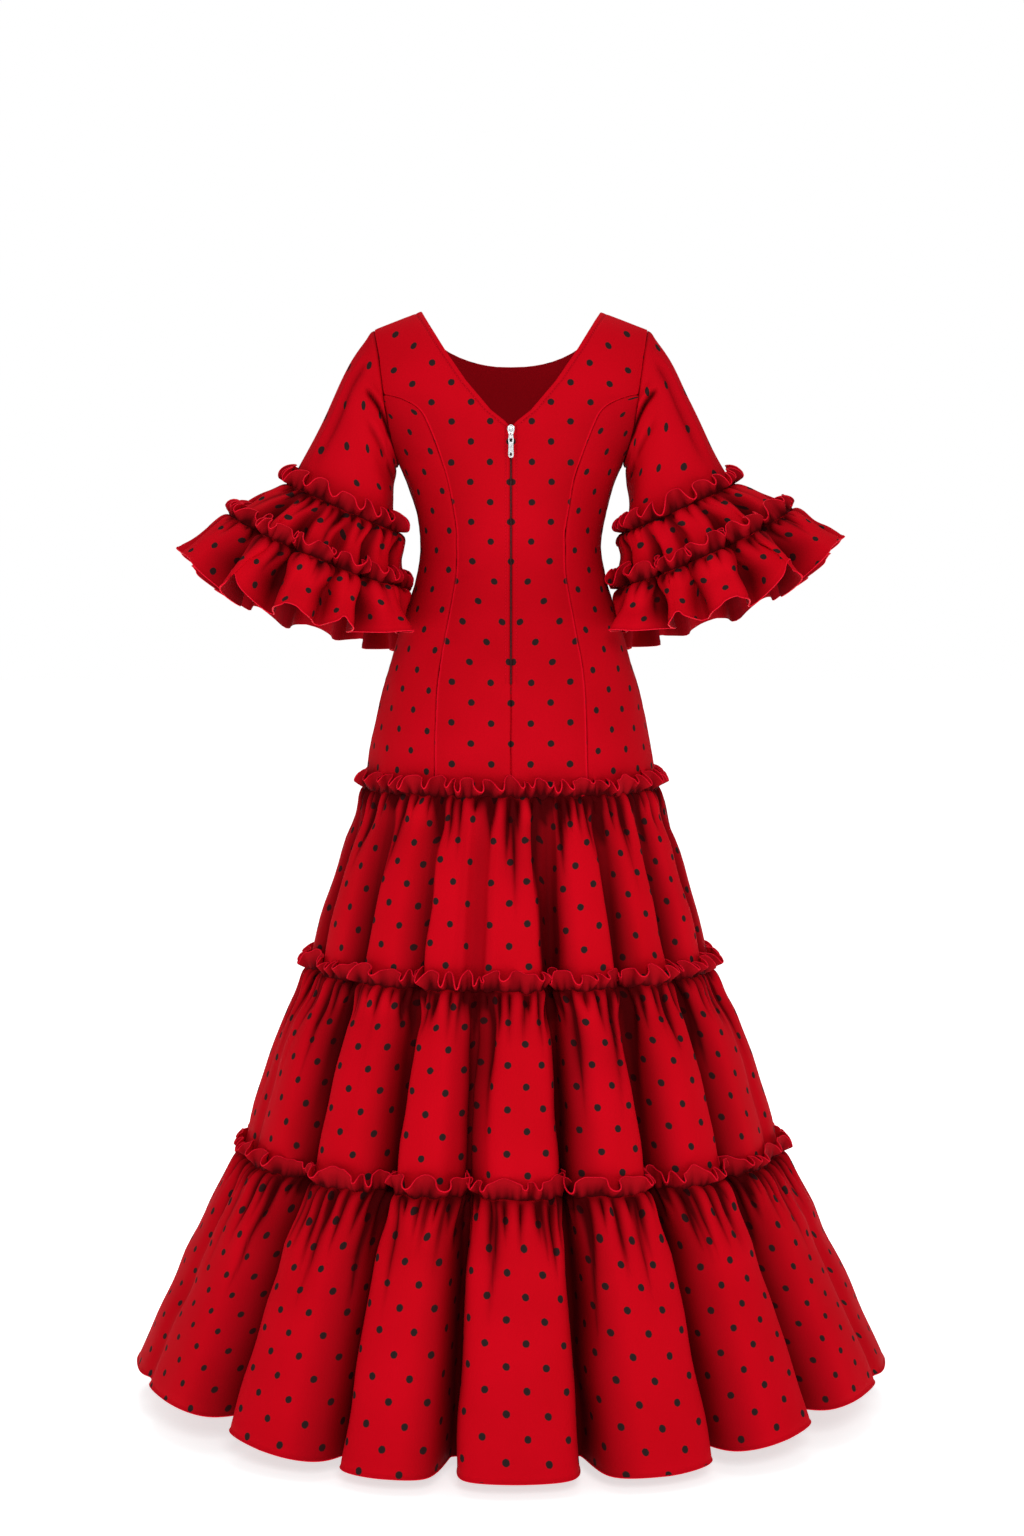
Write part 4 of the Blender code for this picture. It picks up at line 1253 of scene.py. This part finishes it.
def mean_lengths(knots):
    """Mean distance of each row of points below the first."""
    return running(np.linalg.norm(np.diff(knots, axis=0), axis=-1).mean(axis=1))


def through(knots, rows):
    """Rows of points on smooth curves through knot rows, at places from 0 to 1 down their mean length."""
    length = mean_lengths(knots)
    return hermite(length, knots, rows * length[-1]), length[-1]


def flounce_folds(turns):
    near, depth, toward = nearest_valley(np.degrees(turns), FLOUNCE_VALLEYS)
    return near, depth, toward, fold_share(near, *FLOUNCE_FLOOR) * depth


def even_turns(ring, count, side):
    """Turns stepping evenly round a folded ring, from its innermost point round and back to it."""
    turns = np.linspace(-math.pi, math.pi, 12001)
    share = flounce_folds(turns)[3]
    found = even_columns(turns, ring_points(ring, turns, share, side), count, 1 - 0.3 * np.clip(share, 0, 1))
    return found[::-1] if side > 0 else found


def folded_rings(rings, turns, side, lifts):
    """The rings with their folds, whose lips lean over the valleys and whose crests swing up at the hem."""
    near, depth, toward, share = flounce_folds(turns)
    grids = np.array([ring_points(ring, turns, share, side, lift) for ring, lift in zip(rings, lifts)])
    folds = np.array([ring.fold for ring in rings])[:, None]
    leaning = folds * (0.30 + 0.30 * bump(np.degrees(turns) % 360 - 61, 9))
    lean = lip(near, 0.20, toward, depth)[None] * leaning
    return grids - unit(chord(grids, 2, 1)) * (-side) * lean[..., None]


# How the lower flounce's hem swings up and out, sinks, and leans in, as (reach, degrees, width).
HEM_SWINGS = ((0.0150, 67, 9), (0.0040, 90, 8), (0.0060, 111, 9))
HEM_SINKS = ((0.0080, 54, 7), (0.0060, 140, 18), (0.0100, 322, 26), (0.0140, 219, 18))
HEM_LEANS = ((0.0180, 141, 11),)


def bumps(degrees, table):
    return sum(reach * bump(degrees - angle, width) for reach, angle, width in table)


def add_flounce(name, line, above, below, rings, turns, side, lifts, margin, rng, rests_on, frill_count):
    """One gathered sleeve flounce and its frill, hanging from a ring of points."""
    near, depth, toward, share = flounce_folds(turns)
    hanging = folded_rings(rings, turns, side, lifts)
    last = name.endswith("lower_flounce")
    degrees = np.degrees(turns) % 360
    rows = np.concatenate([[0, 0.012, 0.028, 0.05, 0.08, 0.115, 0.155], np.linspace(0.2, 1.0, 19)])
    if last:
        rows = np.concatenate([rows[:-2], [0.955, 0.972, 1.0]])
        swing = (0.0060 + bumps(degrees, HEM_SWINGS)) * (1 - 2 * share)
        for row, swung, sunk, leant in ((-1, 1, 1, 1), (-2, 0.30, 0.45, 0.6)):
            hanging[row, :, 2] += swung * swing - sunk * bumps(degrees, HEM_SINKS)
            hanging[row, :, 0] -= leant * bumps(degrees, HEM_LEANS) * side
    else:
        hanging[-1, :, 2] += 0.002 * (1 - 2 * share)
    base, length = through(np.concatenate([[line, below], hanging]), rows)
    base = body_clear(base, margin)
    fall = rows * length
    down = fall[:, None]
    place = arc(line, closed=True)
    lift, hidden = gathered(place, fall, rng, SLEEVE_GATHERS, SLEEVE_FOLDS)
    lift += ripples(place[:-1], down, rng, 0.0009, 0.040) * smooth(0.004, 0.03, down)
    if last:
        lift -= 0.0003 * bump(down - length + 0.0028, 0.0006)
    face = base + normals(base, True) * lift[..., None]
    hem = arc(base[-1], closed=True)
    across, along, _ = slipped(np.degrees(turns), FLOUNCE_VALLEYS, rng, 0.010, 0.012, 0.10)
    u = hem + rng.uniform(0, 0.04) + across
    v = along + rng.uniform(0, 0.04) - down
    # Painted shade in the valleys, wider on one flank, in the creases and where the cloth sinks in, and just
    # under the gather line; fainter towards the hem.
    flank = (1 - smooth(0.02, 1.0, near / np.where(toward > 0, 0.30, 0.16))) * depth
    deep = np.maximum(smooth(0.2, 1.0, share), flank) * np.clip(0.65 + down * 7, 0, 0.95)
    deep = deep * (1 - 0.35 * smooth(0.6, 1.0, rows[:, None])) + 0.16 * bump(down, 0.0035)
    deep += hidden + 0.35 * smooth(0.0015, 0.007, -lift)
    hem_edge = (face[-1], 0.00060) if last else None
    ruffle = (line, above, share * 0.5, frill_count, rng, SLEEVE_FRILL)
    flat = (float(hem[-1]), float(length))
    finish_strip(name, face, base, u, v, deep, 0.0010, hem_edge, flat, rests_on, ruffle)
    return face, fall


def moved_to(turns_from, ring, turns_to):
    """A ring of points given at one set of turns, read at another."""
    order = np.argsort(turns_from)
    known = turns_from[order]
    return on_line(turns_to, np.append(known, known[0] + math.tau), looped(ring[order]), period=math.tau)


# Drag folds from the armpit across the back and the front of the arm: distance down the sleeve,
# at which degrees, slope, depth, width and the degrees where they start and end.
DRAG_FOLDS = (
    (0.0168, 80, -0.00036, 0.0062, 0.0026, 66, 134),
    (0.0330, 96, -0.00030, 0.0020, 0.0044, 84, 130),
    (0.0300, 160, 0.00010, 0.0016, 0.0060, 128, 172),
)


def sleeve_folds(degrees, down, rng):
    """(how far in, how hidden) the sleeve's cloth lies; the second is painted as shade."""
    inward, hidden = np.zeros((len(down), degrees.size)), np.zeros((len(down), degrees.size))
    for facing, share in ((1, 1.0), (-1, 0.6)):
        away = (degrees * facing) % 360
        for start, at, slope, deep, wide, first, last in DRAG_FOLDS:
            below = down - (start + slope * (away - at) + 0.0015 * np.sin(away / 9))
            fade = smooth(first, first + 14, away) * (1 - smooth(last - 12, last, away))
            strength = fade * rng.uniform(0.8, 1.1) * share
            inward += deep * bump(below, wide) * strength
            inward -= deep * 0.45 * bump(below + wide * 2.0, wide * 1.3) * strength
            hidden += np.minimum(deep / 0.0042, 1.4) * 0.85 * bump(below, wide * 0.75) * strength
        # A long soft fold down the outer arm.
        opening = smooth(0.010, 0.024, down)
        inward += 0.0030 * bump(away - 47, 6) * opening * (1 - smooth(0.075, 0.105, down))
        inward -= 0.0016 * bump(away - 37, 5) * smooth(0.006, 0.02, down) * (1 - smooth(0.08, 0.11, down))
        hidden += 0.30 * bump(away - 50, 8) * opening * (1 - smooth(0.06, 0.11, down))
    return inward, hidden


SLEEVE_PRINT = 1.3
# Each flounce: its rings, the lifts it takes, how many columns it and its frill have, its room beside
# the bodice, the knot row at whose height it is sewn on, and how steeply it starts.
FLOUNCES = (
    ("upper", UPPER_FLOUNCE, slice(1, 4), 350, 520, BODY_CLEARANCE, 4, 0.35),
    ("lower", LOWER_FLOUNCE, slice(4, 6), 440, 700, HEM_CLEARANCE, 3, 0.5),
)


def add_sleeve(name, side):
    rng = np.random.default_rng(31 if side < 0 else 32)
    turns = np.linspace(-math.pi, math.pi, 176, endpoint=False)[::-side]
    knots = np.array([armhole_points(turns, side)] + [ring_points(ring, turns, 0.0, side) for ring in SLEEVE])
    parts = [0, 0.006, 0.014, 0.024, 0.036, 0.052], np.linspace(0.070, 0.5, 30), np.linspace(0.52, 1.0, 16)
    rows = np.concatenate(parts)
    base, length = through(knots, rows)
    base = np.concatenate([base[:3], body_clear(base[3:], BODY_CLEARANCE * 0.75)])
    below_top = rows * length
    down = below_top[:, None]
    around = np.array([arc(row, closed=True) for row in base])
    u = around - around[:, len(turns) // 2][:, None]
    lift = ripples(u[:, :-1], down, rng, 0.0008, 0.050) * smooth(0.01, 0.05, down)
    lift += 0.0006 * bump(down - 0.004, 0.003) - 0.0011 * bump(down, 0.0010)
    half = around[:, -1:] / 2
    lift -= 0.0007 * bump(np.minimum(np.abs(u[:, :-1] + half), np.abs(half - u[:, :-1])), 0.0010)
    degrees = np.degrees(turns)[None]
    inward, painted_shading = sleeve_folds(degrees, down, rng)
    face = base + normals(base, True) * (WALL + lift - inward)[..., None]
    start = 0.006 if side < 0 else 0.017
    uv = np.stack([u / SLEEVE_PRINT + start, np.broadcast_to(-down + 0.012, u.shape)], -1)
    # Shade at the armhole's seam, in the armpit and, a little, on the outer arm.
    from_outer = np.minimum(degrees % 360, -degrees % 360)
    tight = smooth(70, 130, from_outer)
    painted_shading += (0.40 + 0.60 * tight) * bump(down, 0.0012 + 0.0016 * tight)
    painted_shading += 0.34 * smooth(96, 150, from_outer) * (1 - smooth(0.02, 0.10, down))
    painted_shading += 0.10 + 0.10 * smooth(60, 20, from_outer)
    piece = Piece(f"sleeve_{name}_cloth")
    piece.shell(face, uv, closed=True, squeeze=1.15, painted_shading=np.clip(painted_shading, 0, 1))
    wide, long = float(around[:, -1].max()), float(length)
    area = min(area_of(np.concatenate([face, face[:, :1]], axis=1)), wide * long * 1.04)
    carriers = [f"back_centre_{name}_cloth", "front_cloth"]
    piece.finish(f"sleeve_{name}", flat=(wide, long * 1.05), held="hung", rests_on=carriers, area=area)
    lifts = np.linspace(0, RIGHT_HEM_LIFT if side > 0 else 0.0, 6)
    down, carrier = below_top, piece.name
    for part, rings, taken, columns, frill_columns, room, knot, slope in FLOUNCES:
        at, hung = mean_lengths(knots)[knot], even_turns(rings[-1], columns, side)
        steps = (0, 0.007, -FRILL_ABOVE)
        line, below, above = (moved_to(turns, row_at(face, down, at + step), hung) for step in steps)
        line = out_of(below, line, OFF_CLOTH)
        above = out_of(line, above, OFF_CLOTH)
        below = out_of(below, line, 0.0042) + (below - line) * slope
        full_name, turns = f"sleeve_{name}_{part}_flounce", hung
        knots = np.concatenate([[line, below], folded_rings(rings, turns, side, lifts[taken])])
        shape = (line, above, below, rings, turns, side, lifts[taken], room)
        face, down = add_flounce(full_name, *shape, rng, [carrier], frill_columns)
        carrier = f"{full_name}_cloth"


# ---- zip
def corners(node):
    return (np.array(corner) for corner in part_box(node))


def smoothed_outline(heights, widths, at):
    """A closed outline, as (x, z) rows, from half widths at rising heights."""
    right = np.stack([hermite(heights, widths, at), at], -1)
    return np.concatenate([right, right[-2:0:-1] * np.array([-1.0, 1.0])])


def plated(name, outlines, thickness, bevel, place):
    """A metal plate with softened edges in the XZ plane from closed outlines, the first round the others."""
    curve = bpy.data.curves.new(name, "CURVE")
    curve.dimensions, curve.fill_mode = "2D", "BOTH"
    curve.extrude, curve.offset = thickness / 2 - bevel, -bevel
    curve.bevel_depth, curve.bevel_resolution = bevel, 2
    for points in outlines:
        spline = curve.splines.new("POLY")
        spline.points.add(len(points) - 1)
        for point, (x, z) in zip(spline.points, points):
            point.co = (x, z, 0.0, 1.0)
        spline.use_cyclic_u = True
    flat = placed(name, curve)
    bpy.context.view_layer.update()
    mesh = bpy.data.meshes.new_from_object(flat.evaluated_get(bpy.context.evaluated_depsgraph_get()))
    bpy.data.objects.remove(flat)
    bpy.data.curves.remove(curve)
    # The outline was drawn in XY: lay it up into XZ, its face towards -Y.
    mesh.transform(Matrix(((1, 0, 0, place[0]), (0, 0, -1, place[1]), (0, 1, 0, place[2]), (0, 0, 0, 1))))
    mesh.materials.clear()
    mesh.materials.append(METAL)
    for polygon in mesh.polygons:
        polygon.use_smooth = True
        polygon.material_index = 0
    mesh.update()
    return mesh


def ellipse(width, height, centre, count=28):
    turns = np.arange(count) * math.tau / count
    return np.stack([width / 2 * np.cos(turns), centre + height / 2 * np.sin(turns)], -1)


METAL_PIECE = {"slot": "zip_metal", "materials": (METAL,)}


def add_slider():
    """A teardrop crown with a ridge between two flutes, over the slider's back plate, and the bridge."""
    low, high = corners("zip_slider")
    back = high[1]
    tall, across = np.linspace(0, 1, 33)[:, None], np.sin(np.linspace(-1, 1, 29) * math.pi / 2)[None]
    z = low[2] + tall * (high[2] - low[2])
    knots = table(at=(0, 120, 350, 620, 800, 930, 1000), half=(0.6, 2.3, 2.5, 3.6, 3.8, 2.7, 0.3))
    half = hermite(knots["at"], knots["half"], tall)
    x = half * across
    domed = np.sqrt(np.clip(1 - across**4, 0, 1))
    flute = 0.00050 * bump(np.abs(x) - half * 0.46, 0.00055) * smooth(0.30, 0.55, tall)
    ridge = 0.00025 * bump(x, 0.0008) * smooth(0.3, 0.6, tall)
    ends = np.sqrt(np.clip(np.sin(tall * math.pi), 0, 1))
    rise = 0.0014 * domed * (0.35 + 0.65 * ends) - flute + ridge
    depths = (back - 0.0006 - rise, np.full(x.shape, back))
    face, rear = (np.stack(np.broadcast_arrays(x, y, z), -1) for y in depths)
    piece = Piece("zip_slider_metal")
    index = np.arange(x.size).reshape(x.shape)
    rim = np.concatenate([index[0, :-1], index[:-1, -1], index[-1, :0:-1], index[:0:-1, 0]])
    after = np.roll(rim, -1)
    sides = np.stack([rim, rim + x.size, after + x.size, after], -1)
    quads = np.concatenate([cells(index)[:, TURNED_OVER], cells(index) + x.size, sides])
    piece.faces(quads, np.zeros((len(quads), 4, 2)), FACED)
    piece.add(np.stack([face, rear]))
    # The bridge that carries the tab.
    turns = np.linspace(0, math.tau, 29)[:-1]
    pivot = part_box("zip_pull")[1][2] - 0.0006
    y = np.minimum(back - 0.0036 + 0.0026 * np.cos(turns), back - 0.0009)
    hoop = np.stack([0 * turns, y, pivot + 0.00075 + 0.0026 * np.sin(turns)], -1)
    piece.tube(hoop, 0.00062, sides=10, kind=FACED, hint=(1.0, 0.0, 0.0))
    piece.finish("zip_slider", sharp=50, **METAL_PIECE)


def add_pull():
    """The flat tab: an eye round the bridge, a slim neck, straight sides and a hole near its round end."""
    low, high = corners("zip_pull")
    length, thickness, half = high[2] - low[2], high[1] - low[1], (high[0] - low[0]) / 2
    heights = -length + length * np.array([0.0, 0.012, 0.05, 0.12, 0.35, 0.60, 0.70, 0.83, 0.93, 0.985, 1.0])
    widths = half * np.array([0.02, 0.40, 0.76, 0.93, 0.93, 0.88, 0.90, 1.0, 0.86, 0.42, 0.02])
    at = -length + length * (0.5 - 0.5 * np.cos(np.linspace(0, math.pi, 45)))
    eye, hole = ellipse(0.0027, 0.0050, -0.0038), ellipse(0.0019, 0.0035, -length + 0.0036)
    outlines = [smoothed_outline(heights, widths, at), eye, hole]
    mesh = plated("zip_pull_metal", outlines, thickness, 0.00028, (0.0, (low[1] + high[1]) / 2, high[2]))
    handed_over("zip_pull_metal", mesh, "zip_pull", "zip_pull", 40)
    # A pressed rib down the tab's face.
    rib = Piece("zip_pull_rib")
    z = high[2] - length * np.linspace(0.36, 0.70, 15)
    line = np.stack([0 * z, np.full(z.shape, low[1] + 0.00012), z], -1)
    taper = 0.00042 * np.sqrt(np.clip(1 - np.linspace(-1, 1, 15) ** 2, 0.02, 1))
    rib.tube(line, taper, sides=10, closed=False, kind=FACED, hint=(0.0, 1.0, 0.0), flatten=0.6)
    rib.finish("zip_pull", body="zip_pull", **METAL_PIECE)


COIL_PITCH = 0.00125
COIL_STEPS = 8


def add_tape():
    """The tape's two woven halves, whose folds meet behind the slit, and the coil inside them."""
    low, high = corners("zip_tape")
    z = np.linspace(high[2], low[2], 90)
    piece = Piece("zip_tape_cloth")
    for side in (-1, 1):
        x = (np.array([0.00010, 0.0005, 0.0012, 0.0024, 0.0050, 0.0080, 0.0110, 0.0119]) * side)[::side]
        x, height = np.meshgrid(x, z)
        grid = body_point(x, height, np.full(height.shape, -1.0))
        grid[..., 1] += 0.00035 + 0.0005 * bump(x, 0.0006)
        piece.shell(grid, np.stack([x, height], -1), thickness=0.0007)
    coil = np.arange(int((z[0] - z[-1] - 0.006) / COIL_PITCH) * COIL_STEPS) / COIL_STEPS
    turns = coil * math.tau
    spine = body_point(np.zeros(len(coil)), z[0] - 0.003 - coil * COIL_PITCH, np.full(len(coil), -1.0))
    line = spine + np.stack([0.0013 * np.cos(turns), 0.0021 + 0.00055 * np.sin(turns), 0 * turns], -1)
    piece.tube(line, 0.00030, sides=4, closed=False, kind=1)
    backs = ["back_centre_left_cloth", "back_centre_right_cloth"]
    sheet = {"flat": (0.024, float(z[0] - z[-1])), "held": "stretched", "rests_on": backs}
    piece.finish("zip_tape", slot="zip_tape", materials=(TAPE, COIL), **sheet)


add_camera()
add_stage()
add_bodice()
add_skirt()
add_sleeve("left", -1)
add_sleeve("right", 1)
add_tape()
add_slider()
add_pull()
